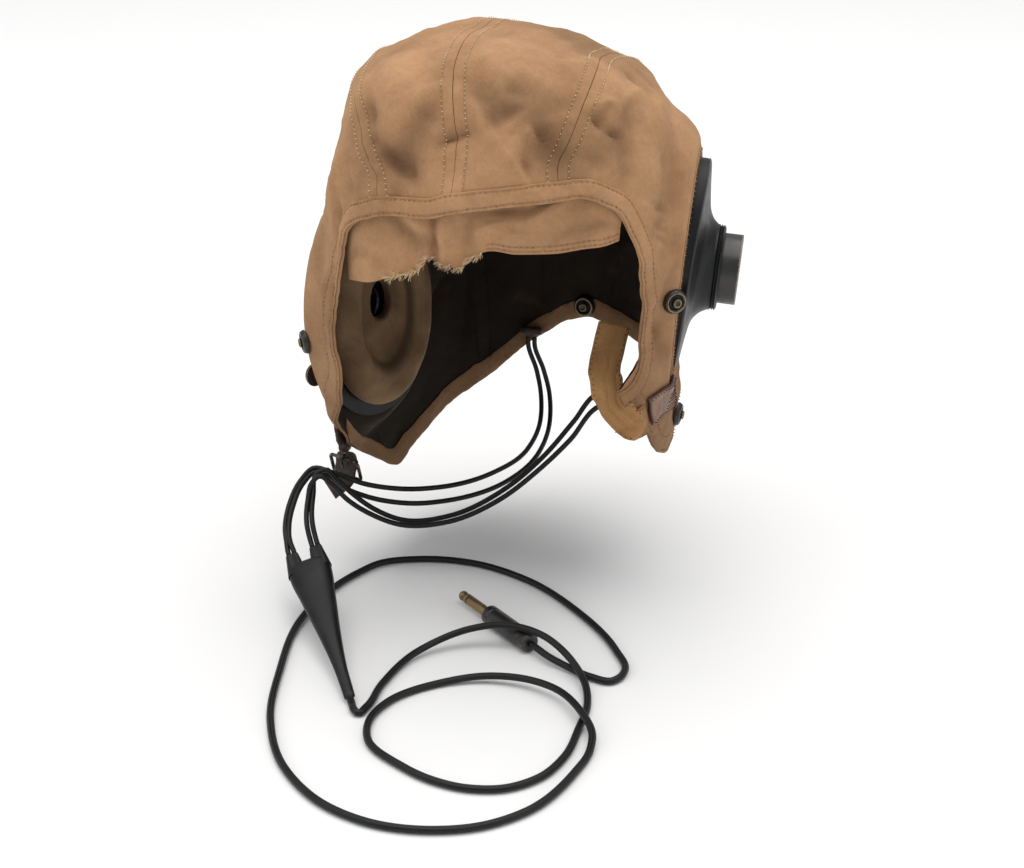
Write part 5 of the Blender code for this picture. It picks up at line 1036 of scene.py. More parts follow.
# Handling and painted shade: the pad is darker at its drawn-in edge, round its dish and round its hole
wear_and_shade_marks, rings = [], []
for inset, deep in [(PAD_SECTION[0][0] + 0.02, 0)] + list(PAD_SECTION):
    edge = np.stack([(PAD_HALF_HEIGHT - inset) * np.cos(turn), (PAD_HALF_WIDTH - inset) * np.sin(turn)], axis=1)
    rings.append((edge, deep))
    wear_and_shade_marks.append(0.7 if deep < 0.003 else 0.0)
for share, deep in DISH_SECTION:
    rings.append((dish * (1 - share) + hole * share, deep))
    wear_and_shade_marks.append(0.85 if share < 0.1 else 0.9 if share == 1 else 0.15)
rings[0] = (hole, 0)
wave = 1 + 0.018 * np.sin(turn * 9 + 1) + 0.012 * np.sin(turn * 17 + 2)
back = -CLOTH - CUP_SEAT_GAP - CUP_FLANGE_THICKNESS - GAP
sections = [np.stack([np.full(PAD_SIDES, back) - deep * (wave if deep > 0.002 else 1), edge[:, 1], edge[:, 0]],
                     axis=1) for edge, deep in rings]
for side, label in SIDE_NAMES.items():
    verts, faces = round_skin(sections, loop=True)
    made = add_piece("chamois_pad_" + label, verts, faces, [chamois], frame=EARS[side], sharp=75,
                     notes={"worn": np.repeat(wear_and_shade_marks, PAD_SIDES)})
    smooth = made.modifiers.new("soften", "SUBSURF")
    smooth.levels = smooth.render_levels = 1
    hand_in(made, "helmet", "chamois", "ear_pad_" + label)

# Seam tapes and neck facing
# Cotton tapes cover the seams inside, and a turned band of the same drill faces the neck hem; both are
# sewn through the cloth, with their stitches showing outside.
TAPE_THICKNESS, FACING_THICKNESS, UNDER_GAP, FACING_GAP = 0.0008, 0.0010, 0.0002, 0.0005


def rows_in(points, normals, distances, from_last=False):
    """Points and normals of a grid at distances in from its first column, or from its last."""
    if from_last:
        points, normals = points[:, ::-1], normals[:, ::-1]
    runs, _ = column_runs(points)
    return [np.array([points_at(distances, run, row) for run, row in zip(runs, grid)])
            for grid in (points, normals)]


def beside(key, from_last, distances, rows=slice(None)):
    """Points and normals of a panel at distances in from one of its long edges."""
    points, normals = panels[key]
    return rows_in(points[rows], normals[rows], distances, from_last)


def strip_cut(points):
    """Distances along and across a strip's grid, for its weave."""
    across, _ = column_runs(points)
    along = run_along(points[:, points.shape[1] // 2])
    return np.stack([np.repeat(along[:, None], points.shape[1], axis=1), across], axis=-1)


def under_strip(name, points, normals, gap, thickness, finish, node):
    """A strip sewn under the cloth along a grid of the cloth's own points."""
    top = points - normals * (CLOTH + gap)
    ease = np.ones(points.shape[1])
    ease[[0, -1]] = 0.35
    low = top - normals * (thickness * ease[None, :, None])
    hand_in(sheet_piece(name, top, low, strip_cut(points), [finish]), "helmet", "lining_cotton", node)


def joined(first, second):
    """Two grids joined along their seam, without the first and last rows, where the hems are."""
    return [np.concatenate([a, b[:, ::-1]], axis=1)[3:-3] for a, b in zip(first, second)]


tape_half = np.linspace(TAPE_WIDTH / 2, 0.0003, 5)
left, right = beside(("crown", 1), False, tape_half), beside(("crown", -1), False, tape_half)
under_strip("centre_tape", *joined(left, right), UNDER_GAP, TAPE_THICKNESS, lining, "seam_tape_centre")
for side, label in SIDE_NAMES.items():
    crown = beside(("crown", side), True, tape_half)
    seam_rows = [0, *range(FACE_STEPS + NECK_STEPS + SHELL_ROWS - 2, FACE_STEPS + NECK_STEPS - 1, -1)]
    flap = beside(("side", side), True, tape_half, seam_rows)
    under_strip(label + "_tape", *joined(crown, flap), UNDER_GAP, TAPE_THICKNESS, lining, "seam_tape_" + label)
    sew("pale", [beside(("crown", side), True, [SEAM_ROW]), beside(("side", side), True, [SEAM_ROW], seam_rows),
                 beside(("crown", side), False, [SEAM_ROW])])

# The nape is faced by the last rows of the crown panels, and the flaps up to a few rows from their corner
NAPE_ROWS, CORNER_ROWS = 24, 6
hem_widths = np.linspace(0, FACING_WIDTH, 7)
flaps = slice(FACE_STEPS + CORNER_ROWS, FACE_STEPS + NECK_STEPS + 1)
facing_sides = {side: beside(("side", side), True, hem_widths, flaps) for side in EARS}
facing_napes = {}
for side in EARS:
    nape = [grid[::-1][:NAPE_ROWS].transpose(1, 0, 2) for grid in panels["crown", side]]
    facing_napes[side] = rows_in(*nape, hem_widths)
neck_hem = [np.concatenate([facing_sides[1][k][:-1], facing_napes[1][k][::-1], facing_napes[-1][k][1:],
                            facing_sides[-1][k][:-1][::-1]]) for k in (0, 1)]
under_strip("neck_band", *neck_hem, FACING_GAP, FACING_THICKNESS, drill, "neck_facing")
sew("brown", [[part[:, column:column + 1] for part in neck_hem] for column in (1, 5)])

# Face binding and ear-hole hems
# A folded strip of the drill bound round the face opening from flap to flap and sewn down along both
# edges, and turned hems round the two ear holes.
BINDING_WIDTH, BINDING_THICKNESS, BINDING_LIFT = 0.0105, 0.0012, 0.0003
BINDING_STEPS, BINDING_ROW = 520, 0.0015
HEM_EDGE, HEM_WIDTH, HEM_LIFT, HEM_THICKNESS, HEM_ROW = 0.0002, 0.0062, 0.0001, 0.0007, 0.0016
# How wide the edges of a strip are rolled, and how its row of stitches dents and gathers it
EDGE_ROLL, DENT_SHARE, DENT_WIDTH, GATHER_PITCH = 0.0012, 0.45, 0.0006, 0.0052


def strip_flat(line, offsets):
    """Flat places of a strip beside a line on the cloth, at offsets to its right hand."""
    slopes = slopes_of(shell_points, line)
    across = unit(np.cross(unit(np.cross(*slopes)), np.gradient(shell_points(line), axis=0)))
    move = np.stack([np.linalg.lstsq(slope, way, rcond=None)[0]
                     for slope, way in zip(np.stack(slopes, axis=-1), across)])
    return line[:, None] - move[:, None] * np.asarray(offsets)[None, :, None]


def pucker(cut, height, pitch):
    """Small gathers across a strip where its thread pulls it in."""
    along, across = cut[..., 0], cut[..., 1]
    wave = np.sin(along * math.tau / pitch + 2.5 * np.sin(along * 61) + across * 90)
    return height * wave * (0.6 + 0.4 * np.sin(along * 37 + 1))


def outer_strip(name, base, normals, lift, thickness, row, nodes, ring=False, gather=0.00012):
    """A strip sewn on the outside of the cloth, its edges rolled down."""
    cut = strip_cut(base)
    width = cut[:, -1:, 1]
    edge = np.minimum(cut[..., 1], width - cut[..., 1])
    roll = np.clip(edge / EDGE_ROLL, 0.25, 1) ** 0.5
    dent = DENT_SHARE * np.exp(-((edge - row) / DENT_WIDTH) ** 2)
    rise = lift + thickness * (roll - dent) + pucker(cut, gather, GATHER_PITCH)
    sewn = np.stack([cut[..., 1] + SEAM_ROW - row, width - cut[..., 1] + SEAM_ROW - row, 0 * edge + FAR], axis=-1)
    made = sheet_piece(name, base + normals * rise[..., None], base + normals * lift, cut, [drill], ring=ring,
                       notes={"sewn": sewn})
    hand_in(made, "helmet", "tan_cotton", *nodes)
    top, rows, last = base + normals * rise[..., None], np.arange(len(base)), cut.shape[1] - 1
    for runs, from_last in ((cut[..., 1], False), ((width - cut[..., 1])[:, ::-1], True)):
        column = np.array([np.interp(row, run, np.arange(last + 1)) for run in runs])
        column = last - column if from_last else column
        low = np.clip(column.astype(int), 0, last - 1)
        share = (column - low)[:, None]
        yield (top[rows, low] * (1 - share) + top[rows, low + 1] * share)[:, None], normals[rows, low][:, None]


hem = np.concatenate([HEMS[1][FLAP_CORNER:0:-1], HEMS[-1][:FLAP_CORNER + 1]])
binding_flat = strip_flat(spline(hem, count=BINDING_STEPS), np.linspace(0, BINDING_WIDTH, 13))
sew("brown", outer_strip("brow_binding", cloth_points(binding_flat), cloth_normals(binding_flat), BINDING_LIFT,
                         BINDING_THICKNESS, BINDING_ROW, ["face_binding"]))
for side, label in SIDE_NAMES.items():
    turned = beside(("side", side), False, np.linspace(HEM_EDGE, HEM_WIDTH, 9))
    sew("brown", outer_strip("ear_hem_" + label, *turned, HEM_LIFT, HEM_THICKNESS, HEM_ROW, [], ring=True,
                             gather=0.00008))

# Sweatband
# The torn drill band that hangs inside the brow. Its upper edge is caught behind the binding; the lower
# is frayed on the wearer's right, folded over itself at the middle and still hemmed on the left.
SWEATBAND_TURNS = (-42, -36, -31, -23, -16, -13, -10.5, -6.5, -1.5, 2.5, 5, 8, 18, 29.5, 38, 44.5, 50)
SWEATBAND_TOPS = (0.36, 0.315, 0.285, 0.265, 0.26, 0.255, 0.255, 0.25, 0.245, 0.24, 0.235, 0.235, 0.225,
                  0.22, 0.225, 0.255, 0.3)
SWEATBAND_SHARES = (0.46, 0.455, 0.45, 0.43, 0.415, 0.41, 0.39, 0.375, 0.39, 0.385, 0.37, 0.355, 0.355,
                    0.355, 0.35, 0.35, 0.345)
SWEATBAND_THICKNESS, SWEATBAND_GAP, SWEATBAND_SLANT = 0.0008, 0.0024, 0.0030
SWEATBAND_STEPS, SWEATBAND_ROWS = 260, 44
BAND_RELIEF, BAND_HEM_ROWS = (-0.0034, 0.0022), (0.0016, 0.0042)
# Its folds: where each starts and ends, in degrees from the brow and shares of its depth from the top,
# the degrees that it spreads over, and its height toward the face
BAND_FOLDS = (
    ((-20, 0.15), (-8, 0.75), 2.6, -0.0030), ((-16, 0.10), (-6, 0.55), 2.2, 0.0020),
    ((-6, 0.00), (-6, 1.00), 1.5, -0.0034), ((-3, 0.00), (-3, 1.00), 1.6, 0.0026),
    ((8, 0.55), (20, 0.52), 2.4, 0.0034), ((20, 0.52), (36, 0.08), 2.4, 0.0034),
    ((9, 0.28), (22, 0.32), 2.2, -0.0026), ((22, 0.32), (34, 0.02), 2.0, -0.0024),
    ((-36, 0.55), (-24, 0.80), 3.0, -0.0026), ((-38, 0.80), (-22, 0.55), 3.0, 0.0018),
    ((5, 0.20), (4, 0.90), 2.4, -0.0022), ((36, 0.75), (46, 0.40), 3.0, -0.0022),
    ((26, 0.85), (38, 0.55), 3.0, -0.0020), ((-12, 0.85), (-8, 1.00), 2.0, 0.0016),
)
FRAY_START, FRAY_END, FRAY_DEPTH = -24, 9, 0.010
FRAY_THREADS = 260

turn_steps = np.linspace(SWEATBAND_TURNS[0], SWEATBAND_TURNS[-1], SWEATBAND_STEPS)
down = np.linspace(0, 1, SWEATBAND_ROWS)
top_shares = hermite(SWEATBAND_TURNS, SWEATBAND_TOPS, turn_steps)
low_shares = hermite(SWEATBAND_TURNS, SWEATBAND_SHARES, turn_steps)
frayed = np.clip((turn_steps - FRAY_START) / 3, 0, 1) * np.clip((FRAY_END - turn_steps) / 3, 0, 1)
jagged = sum(np.sin(turn_steps * rate + phase) / (k + 1.5) for k, (rate, phase) in
             enumerate(((1.1, 0.4), (2.7, 1.9), (6.1, 0.2), (13.7, 2.2), (29.0, 1.0))))
low_shares = low_shares + frayed * jagged * FRAY_DEPTH * 0.6
shares = top_shares[:, None] * (1 - down) + low_shares[:, None] * down
turn_grid = np.repeat(turn_steps[:, None], SWEATBAND_ROWS, axis=1)
band_flat = flat_place(turn_grid, shares)
relief = np.zeros(band_flat.shape[:2])
for start, end, width, height in BAND_FOLDS:
    scale = np.array((1, 26))
    place = np.stack([turn_grid, np.repeat(down[None], SWEATBAND_STEPS, axis=0)], axis=-1) * scale
    first, last = np.array(start) * scale, np.array(end) * scale
    way = last - first
    share = np.clip(((place - first) @ way) / (way @ way), 0, 1)
    away = np.linalg.norm(place - first - share[..., None] * way, axis=-1)
    relief += height * (0.45 + 0.55 * np.sin(math.pi * share)) * np.exp(-(away / width) ** 1.6)
relief *= np.clip(down[None] / 0.12, 0, 1)
band_normals = unit(np.cross(*slopes_of(shell_points, band_flat, 0.004)))
ripple = sum(height * np.sin(shell_points(band_flat) @ way + phase) for way, phase, height, _ in waves)
depth = CLOTH + SWEATBAND_GAP + SWEATBAND_SLANT * down[None]
depth = depth - np.clip(relief + 0.5 * ripple * down[None], *BAND_RELIEF)
face = shell_points(band_flat) - band_normals * depth[..., None]
cut = strip_cut(face)
edge = cut[:, -1:, 1] - cut[..., 1]
hemmed = (turn_steps > FRAY_END)[:, None]
sewn = np.stack([*[np.where(hemmed, edge + SEAM_ROW - row, FAR) for row in BAND_HEM_ROWS], 0 * edge + FAR],
                axis=-1)
# Painted shade in the sweatband's sunk folds, noted from their depth
sweatband = sheet_piece("brow_sweatband", face, face - band_normals * SWEATBAND_THICKNESS, cut, [drill],
                        notes={"sewn": sewn, "hollow": np.clip(-relief / 0.004, 0, 1)})
hand_in(sweatband, "helmet", "tan_cotton", "sweatband")
for inset in BAND_HEM_ROWS:
    rows = np.argmin(np.abs(edge - inset), axis=1)
    keep = turn_steps > FRAY_END + 1
    sew("brown", [[grid[np.arange(SWEATBAND_STEPS), rows][keep][:, None] for grid in (face, band_normals)]])

# Chin tab
# A two-ply leather tab sewn to the outside of the left flap; dense rows of stitches fasten its upper end,
# and its cut edge is burnished dark red. The chin strap comes out from under it.
TAB_PLACES = ((92, 0.738), (82, 0.724), (72, 0.716), (64.5, 0.719))
TAB_WIDTH, TAB_THICKNESS, TAB_GAP = 0.0180, 0.0022, 0.0005
TAB_ROWS, TAB_COLUMNS, TAB_CORNER = 64, 25, 0.006
TAB_SEWN_SHARE, TAB_EDGE_ROW, TAB_STITCH_ROWS = 0.60, 0.0017, (-0.0062, -0.0042, -0.0022, 0, 0.0022)
LEATHER_EDGE = 0.0011


def leather_finish(name, face, dark, edge):
    """Vegetable-tanned leather: grained, darker in its pores, its cut edges in their own colour."""
    look = Finish(name)
    grain = look.add("ShaderNodeTexVoronoi", {"feature": "DISTANCE_TO_EDGE"}, {"Vector": look.spot, "Scale": 620})
    cracks = look.noise(420, 4, Distortion=1.5)
    base = look.mixed(look.ranged(look.noise(110, 5), 0.36, 0.64), dark, face)
    base = look.mixed(look.noted("worn"), base, edge)
    pores = look.ranged(grain.outputs["Distance"], 0, 0.16, 0.72, 1.04)
    creased = look.raised(cracks, 0.35, 0.0004, look.raised(pores, 0.5, 0.0003))
    rough = look.ranged(cracks, 0.3, 0.7, 0.42, 0.66)
    return look.coated({"Base Color": look.toned(base, pores), "Roughness": rough, "Specular IOR Level": 0.4,
                        "Normal": creased})


# Grey-brown split leather for the tab, its edge burnished dark red; the grain is drawn at 1.6 mm
tab_leather = leather_finish("grey-brown leather", "#92715E", "#765948", "#431C17")
# Dark strap leather, oiled and worn, for the buckle strap and keepers; the grain is drawn at 1.6 mm
strap_leather = leather_finish("dark brown leather", "#40302A", "#291D19", "#4A352B")


def edge_marks(cut, reach=LEATHER_EDGE):
    """How near each point of a strip lies to its cut edges, 1 at the edge."""
    along, across = cut[..., 0], cut[..., 1]
    edge = np.minimum(np.minimum(across, across[:, -1:] - across), np.minimum(along, along.max() - along))
    return np.clip(1.3 - edge / reach, 0, 1)


def grid_normals(points, toward):
    """Normals of a grid of points, turned to the side that another set of directions points to."""
    normals = unit(np.cross(np.gradient(points, axis=0), np.gradient(points, axis=1)))
    return normals * np.sign(np.sum(normals * toward, axis=-1, keepdims=True))


def strap_piece(name, grid, normals, thickness, finish, marks=None, body="helmet", node=None):
    """A flat strap over a grid of points, its edges rounded over."""
    cut = strip_cut(grid)
    edge = np.minimum(cut[..., 1], cut[:, -1:, 1] - cut[..., 1])
    roll = np.clip(edge / (0.5 * thickness) + 0.15, 0.15, 1) ** 0.5
    ends = np.minimum(np.arange(len(grid)), np.arange(len(grid))[::-1])
    roll = roll * np.where(ends < 1, 0.5, 1)[:, None]
    middle = grid + normals * (thickness / 2)
    half = normals * (thickness / 2 * roll)[..., None]
    sewn = np.stack([edge + SEAM_ROW - BINDING_ROW, 0 * edge + FAR, 0 * edge + FAR], axis=-1)
    made = sheet_piece(name, middle + half, middle - half, cut, [finish],
                       notes={"sewn": sewn, "worn": edge_marks(cut) if marks is None else marks})
    if body:
        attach(made, body)
    if node:
        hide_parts(node)
    return made, middle + half


def edge_rows(top, normals, inset):
    """Rows of points along both edges of a strap, at a distance in from each."""
    return [rows_in(top, normals, [inset], from_last) for from_last in (False, True)]


tab_line = spline(np.array([flat_place(*place) for place in TAB_PLACES]), count=TAB_ROWS)
tab_flat = strip_flat(tab_line, np.linspace(-TAB_WIDTH / 2, TAB_WIDTH / 2, TAB_COLUMNS))
tab_run = run_along(shell_points(tab_line))
shoulder = 1 - np.clip(1 - tab_run / TAB_CORNER, 0, 1)
narrowed = 0.45 + 0.55 * np.sqrt(1 - (1 - shoulder) ** 2)
tab_flat = tab_line[:, None] + (tab_flat - tab_line[:, None]) * narrowed[:, None, None]
smooth = shell_points(tab_flat)
outward = grid_normals(smooth, cloth_normals(tab_flat))
lifted = np.clip(np.sum((cloth_points(tab_flat) - smooth) * outward, axis=-1), 0, None)
for _ in range(3):
    around = lifted[2:, 1:-1] + lifted[:-2, 1:-1] + lifted[1:-1, 2:] + lifted[1:-1, :-2]
    lifted[1:-1, 1:-1] = np.maximum(lifted[1:-1, 1:-1], 0.25 * around)
tab_grid = smooth + outward * (TAB_GAP + lifted)[..., None]
_, tab_top = strap_piece("leather_chin_tab", tab_grid, outward, TAB_THICKNESS, tab_leather,
                         node="chin_tab")
for across in TAB_STITCH_ROWS:
    column = round((across / TAB_WIDTH + 0.5) * (TAB_COLUMNS - 1))
    held = slice(5, round(TAB_ROWS * TAB_SEWN_SHARE))
    sew("dark", [[grid[held, column:column + 1] for grid in (tab_top, outward)]])
sew("dark", [[points[4:-2], faces[4:-2]] for points, faces in edge_rows(tab_top, outward, TAB_EDGE_ROW)])

# Chin strap
# One drill strap, sewn under the tab, that hangs below the hem and turns up behind it; its seen side is
# faced with yellow chamois, sewn along both edges, and both crease where they fold.
CHIN_ROUTE = ((0.0009, -0.0049, -0.0032), (-0.0031, -0.0129, -0.0032), (-0.0086, -0.0159, -0.0002),
              (-0.0146, -0.0144, 0.0048), (-0.0206, -0.0084, 0.0133), (-0.0236, -0.0004, 0.0233),
              (-0.0236, 0.0076, 0.0333), (-0.0226, 0.0156, 0.0433))
CHIN_ACROSS = ((0.15, -0.20, -0.95), (-0.10, -0.25, -0.95), (-0.35, -0.20, -0.85), (-0.65, -0.30, -0.65),
               (-0.92, -0.30, -0.25), (-1, -0.25, 0), (-1, -0.20, 0), (-1, -0.20, 0))
CHIN_WIDTH, CHIN_THICKNESS, CHIN_LINING_THICKNESS, CHIN_LINING_GAP = 0.0170, 0.0017, 0.0013, 0.0001
CHIN_ROWS, CHIN_COLUMNS, CHIN_LINING_START = 110, 21, 0.05
CHIN_CREASE, CHIN_CREASE_PITCH, CHIN_CURL, CHIN_SETBACK = 0.0010, 0.0052, 0.0011, 0.0006
CHIN_STITCH_ROW, CHIN_TIP_ROWS, CHIN_UNSEWN_ROWS = 0.0018, 8, 9
CHIN_TURN_START, CHIN_TURN_END = (0.0865, -0.0600, -0.2075), (0.0715, -0.0500, -0.1900)


def ribbon(route, across, width, rows, columns):
    """A grid of points across a flat strap along a route, and the directions that it faces."""
    points = spline(route, count=rows - 1)
    knots = run_along(route)
    runs = run_along(points)
    ways = hermite(knots / knots[-1], unit(across), runs / runs[-1])
    along = unit(np.gradient(points, axis=0))
    ways = unit(ways - along * np.sum(ways * along, axis=1, keepdims=True))
    grid = points[:, None] + ways[:, None] * (np.linspace(-0.5, 0.5, columns) * width)[None, :, None]
    return grid, np.repeat(np.cross(along, ways)[:, None], columns, axis=1)


route = shell_points(flat_place(*TAB_PLACES[-1])[None]) + CHIN_ROUTE
grid, outward = ribbon(route, CHIN_ACROSS, CHIN_WIDTH, CHIN_ROWS, CHIN_COLUMNS)
share, aside = np.meshgrid(np.linspace(0, 1, CHIN_ROWS), np.linspace(-1, 1, CHIN_COLUMNS), indexing="ij")
folded = np.exp(-((share - 0.30) / 0.16) ** 2) + 0.4 * np.exp(-((share - 0.62) / 0.1) ** 2)
phase = aside * CHIN_WIDTH / CHIN_CREASE_PITCH * math.pi + share * 9 + 0.6 * np.sin(share * 31)
crease = CHIN_CREASE * folded * np.sin(phase)
curl = CHIN_CURL * (1 - aside ** 2) * (1 - 0.6 * folded)
grid = grid + outward * (crease + curl - CHIN_SETBACK)[..., None]
outward = grid_normals(grid, outward)
chin_straps = [strap_piece("cotton_chin_strap", grid, outward, CHIN_THICKNESS, drill, body=None)]
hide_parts("chin_strap", "chin_strap_end")
first = round(CHIN_LINING_START * (CHIN_ROWS - 1))
lining_grid = (grid + outward * (CHIN_LINING_GAP + CHIN_THICKNESS))[first:]
tip = np.clip((np.arange(CHIN_ROWS - first) + 0.6) / CHIN_TIP_ROWS, 0, 1)[:, None, None]
lining_grid = lining_grid.mean(axis=1, keepdims=True) * (1 - tip) + lining_grid * tip
chin_straps.append(strap_piece("chin_strap_chamois", lining_grid, outward[first:], CHIN_LINING_THICKNESS,
                               pale_chamois, marks=np.zeros(lining_grid.shape[:2]), body=None))
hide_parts("chin_lining")
chin_rows = edge_rows(chin_straps[1][1][CHIN_UNSEWN_ROWS:], outward[first + CHIN_UNSEWN_ROWS:], CHIN_STITCH_ROW)
chin_rows += [(points, -faces) for points, faces in edge_rows(grid, outward, CHIN_STITCH_ROW)]

# Buckle strap
# A dark leather strap sewn to the outside of the right flap; it twists as it leaves the hem and hangs with
# the buckle threaded on it.
STRAP_SEAT_PLACES = ((-77, 0.852), (-77, 0.874), (-77, 0.896))
STRAP_LEAVES, STRAP_END = (0.0015, -0.0008, -0.0054), (-0.0072, -0.0096, -0.0306)
STRAP_ACROSS, STRAP_TURN_SHARES = (0.92, -0.39, 0.07), (0.2, 0.75)
STRAP_LIFT, STRAP_WIDTH, STRAP_THICKNESS, STRAP_STRAIGHT_SHARE = 0.0012, 0.0170, 0.0020, 1.3
STRAP_ROWS, STRAP_COLUMNS, STRAP_SEWN_ROWS = 90, 21, 26
STRAP_WAVE, STRAP_STITCH_ROW = 0.0002, 0.0016
BUCKLE_MIDDLE, BUCKLE_DOWN, BUCKLE_LENGTH = (0.0015, -0.0036, -0.0161), (-0.12, -0.25, -0.96), 0.0130

seat_flat = np.array([flat_place(*place) for place in STRAP_SEAT_PLACES])
seat_normals = unit(np.cross(*slopes_of(shell_points, seat_flat)))
strap_seat = shell_points(seat_flat) + seat_normals * STRAP_LIFT
seat_ways = unit(np.cross(seat_normals, np.gradient(strap_seat, axis=0)))
buckle_middle, reach = strap_seat[-1] + BUCKLE_MIDDLE, unit(BUCKLE_DOWN) * BUCKLE_LENGTH / 2
route = np.array([*strap_seat, strap_seat[-1] + STRAP_LEAVES, buckle_middle - reach * STRAP_STRAIGHT_SHARE,
                  buckle_middle - reach, buckle_middle, buckle_middle + reach, strap_seat[-1] + STRAP_END])
hung = unit(STRAP_ACROSS)
ways = np.array([*seat_ways, *[seat_ways[-1] * (1 - share) + hung * share for share in STRAP_TURN_SHARES],
                 hung, hung, hung, hung])
grid, outward = ribbon(route, ways, STRAP_WIDTH, STRAP_ROWS, STRAP_COLUMNS)
aside = np.linspace(-1, 1, STRAP_COLUMNS)[None]
share = np.linspace(0, 1, STRAP_ROWS)[:, None]
grid = grid + outward * (STRAP_WAVE * np.sin(share * 40) * aside ** 2)[..., None]
_, strap_top = strap_piece("leather_buckle_strap", grid, outward, STRAP_THICKNESS, strap_leather,
                           node="buckle_strap")
sew("dark", [[grid[:STRAP_SEWN_ROWS] for grid in row] for row in edge_rows(strap_top, outward, STRAP_STITCH_ROW)])

# Stitching and frayed threads
# Lockstitches of cotton thread, about 2.6 mm long and pulled into the cloth; where the sweatband is torn,
# loose warp threads stand out of the edge.
STITCH_PITCH, STITCH_LENGTH, STITCH_WIDTH, STITCH_HEIGHT = 0.0031, 0.0021, 0.00070, 0.00050
STITCH_SINK = 0.00002
THREAD_MIDDLE, THREAD_END = (0.0018, 0, 0), (0.0034, 0.0009, 0.0006)
THREAD_WIDTH, THREAD_ROOT = 0.00010, 0.0008
THREAD_SEED, STITCH_SEED = 5, 3
# How far each is turned aside at random, in radians
THREAD_SCATTER, STITCH_SCATTER = 0.5, 0.12


def thread_finish(name, light, dark):
    """Twisted cotton thread: matte, its colour varied from stitch to stitch."""
    look = Finish(name)
    twist = look.add("ShaderNodeTexWave", {"bands_direction": "DIAGONAL"}, {"Vector": look.spot, "Scale": 900})
    base = look.mixed(look.ranged(look.noise(240, 3), 0.35, 0.65), dark, light)
    return look.coated({"Base Color": base, "Roughness": 0.8, "Specular IOR Level": 0.3,
                        "Normal": look.raised(twist.outputs["Fac"], 0.4, 0.0001)})


# Unbleached and tan-dyed sewing cotton, dull, with the twist drawn at 0.35 mm
threads = {"pale": thread_finish("unbleached thread", "#EEDBB8", "#D8BC90"),
           "brown": thread_finish("tan thread", "#B98F62", "#7C5636"),
           "dark": thread_finish("dark brown thread", "#3A2A22", "#241915")}


def repeat_tree(name, form):
    """A node tree that sets a small form on every point of a mesh, along and facing its attributes."""
    tree = bpy.data.node_groups.new(name, "GeometryNodeTree")
    sockets = {label: tree.interface.new_socket(label, in_out="INPUT", socket_type="NodeSocket" + kind).identifier
               for label, kind in (("Geometry", "Geometry"), ("Length", "Float"), ("Width", "Float"),
                                   ("Height", "Float"), ("Scatter", "Float"), ("Seed", "Int"),
                                   ("Finish", "Material"))}
    tree.interface.new_socket("Geometry", in_out="OUTPUT", socket_type="NodeSocketGeometry")
    given = tree.nodes.new("NodeGroupInput")
    if form == "stitch":
        size = add_node(tree, "ShaderNodeCombineXYZ", None,
                        {0: given.outputs["Length"], 1: given.outputs["Width"], 2: given.outputs["Height"]})
        shape = add_node(tree, "GeometryNodeMeshUVSphere", None, {"Segments": 8, "Rings": 5, "Radius": 0.5})
        shape = add_node(tree, "GeometryNodeSetShadeSmooth", None, {"Geometry": shape.outputs[0]})
        shape = add_node(tree, "GeometryNodeTransform", None,
                         {"Geometry": shape.outputs[0], "Scale": size.outputs[0]})
    else:
        bend = add_node(tree, "GeometryNodeCurveQuadraticBezier", None, {
            "Resolution": 5, "Start": (0, 0, 0), "Middle": THREAD_MIDDLE, "End": THREAD_END})
        ring = add_node(tree, "GeometryNodeCurvePrimitiveCircle", None,
                        {"Resolution": 4, "Radius": given.outputs["Width"]})
        shape = add_node(tree, "GeometryNodeCurveToMesh", None,
                         {"Curve": bend.outputs[0], "Profile Curve": ring.outputs[0], "Fill Caps": True})
    along = add_node(tree, "GeometryNodeInputNamedAttribute", {"data_type": "FLOAT_VECTOR"}, {"Name": "along"})
    facing = add_node(tree, "GeometryNodeInputNamedAttribute", {"data_type": "FLOAT_VECTOR"}, {"Name": "facing"})
    turn = add_node(tree, "FunctionNodeAxesToRotation", None,
                    {"Primary Axis": along.outputs[0], "Secondary Axis": facing.outputs[0]})
    spread = add_node(tree, "ShaderNodeMath", {"operation": "MULTIPLY"}, {0: given.outputs["Scatter"], 1: -1.0})
    yaw = add_node(tree, "FunctionNodeRandomValue", {"data_type": "FLOAT"},
                   {2: spread.outputs[0], 3: given.outputs["Scatter"], "Seed": given.outputs["Seed"]})
    angles = add_node(tree, "ShaderNodeCombineXYZ", None, {2: yaw.outputs[1]})
    spin = add_node(tree, "FunctionNodeEulerToRotation", None, {0: angles.outputs[0]})
    turn = add_node(tree, "FunctionNodeRotateRotation", {"rotation_space": "LOCAL"},
                    {0: turn.outputs[0], 1: spin.outputs[0]})
    placed = add_node(tree, "GeometryNodeInstanceOnPoints", None,
                      {"Points": given.outputs["Geometry"], "Instance": shape.outputs[0],
                       "Rotation": turn.outputs[0]})
    whole = add_node(tree, "GeometryNodeRealizeInstances", None, {0: placed.outputs[0]})
    coated = add_node(tree, "GeometryNodeSetMaterial", None,
                      {"Geometry": whole.outputs[0], "Material": given.outputs["Finish"]})
    result = tree.nodes.new("NodeGroupOutput")
    tree.links.new(coated.outputs[0], result.inputs[0])
    return tree, sockets


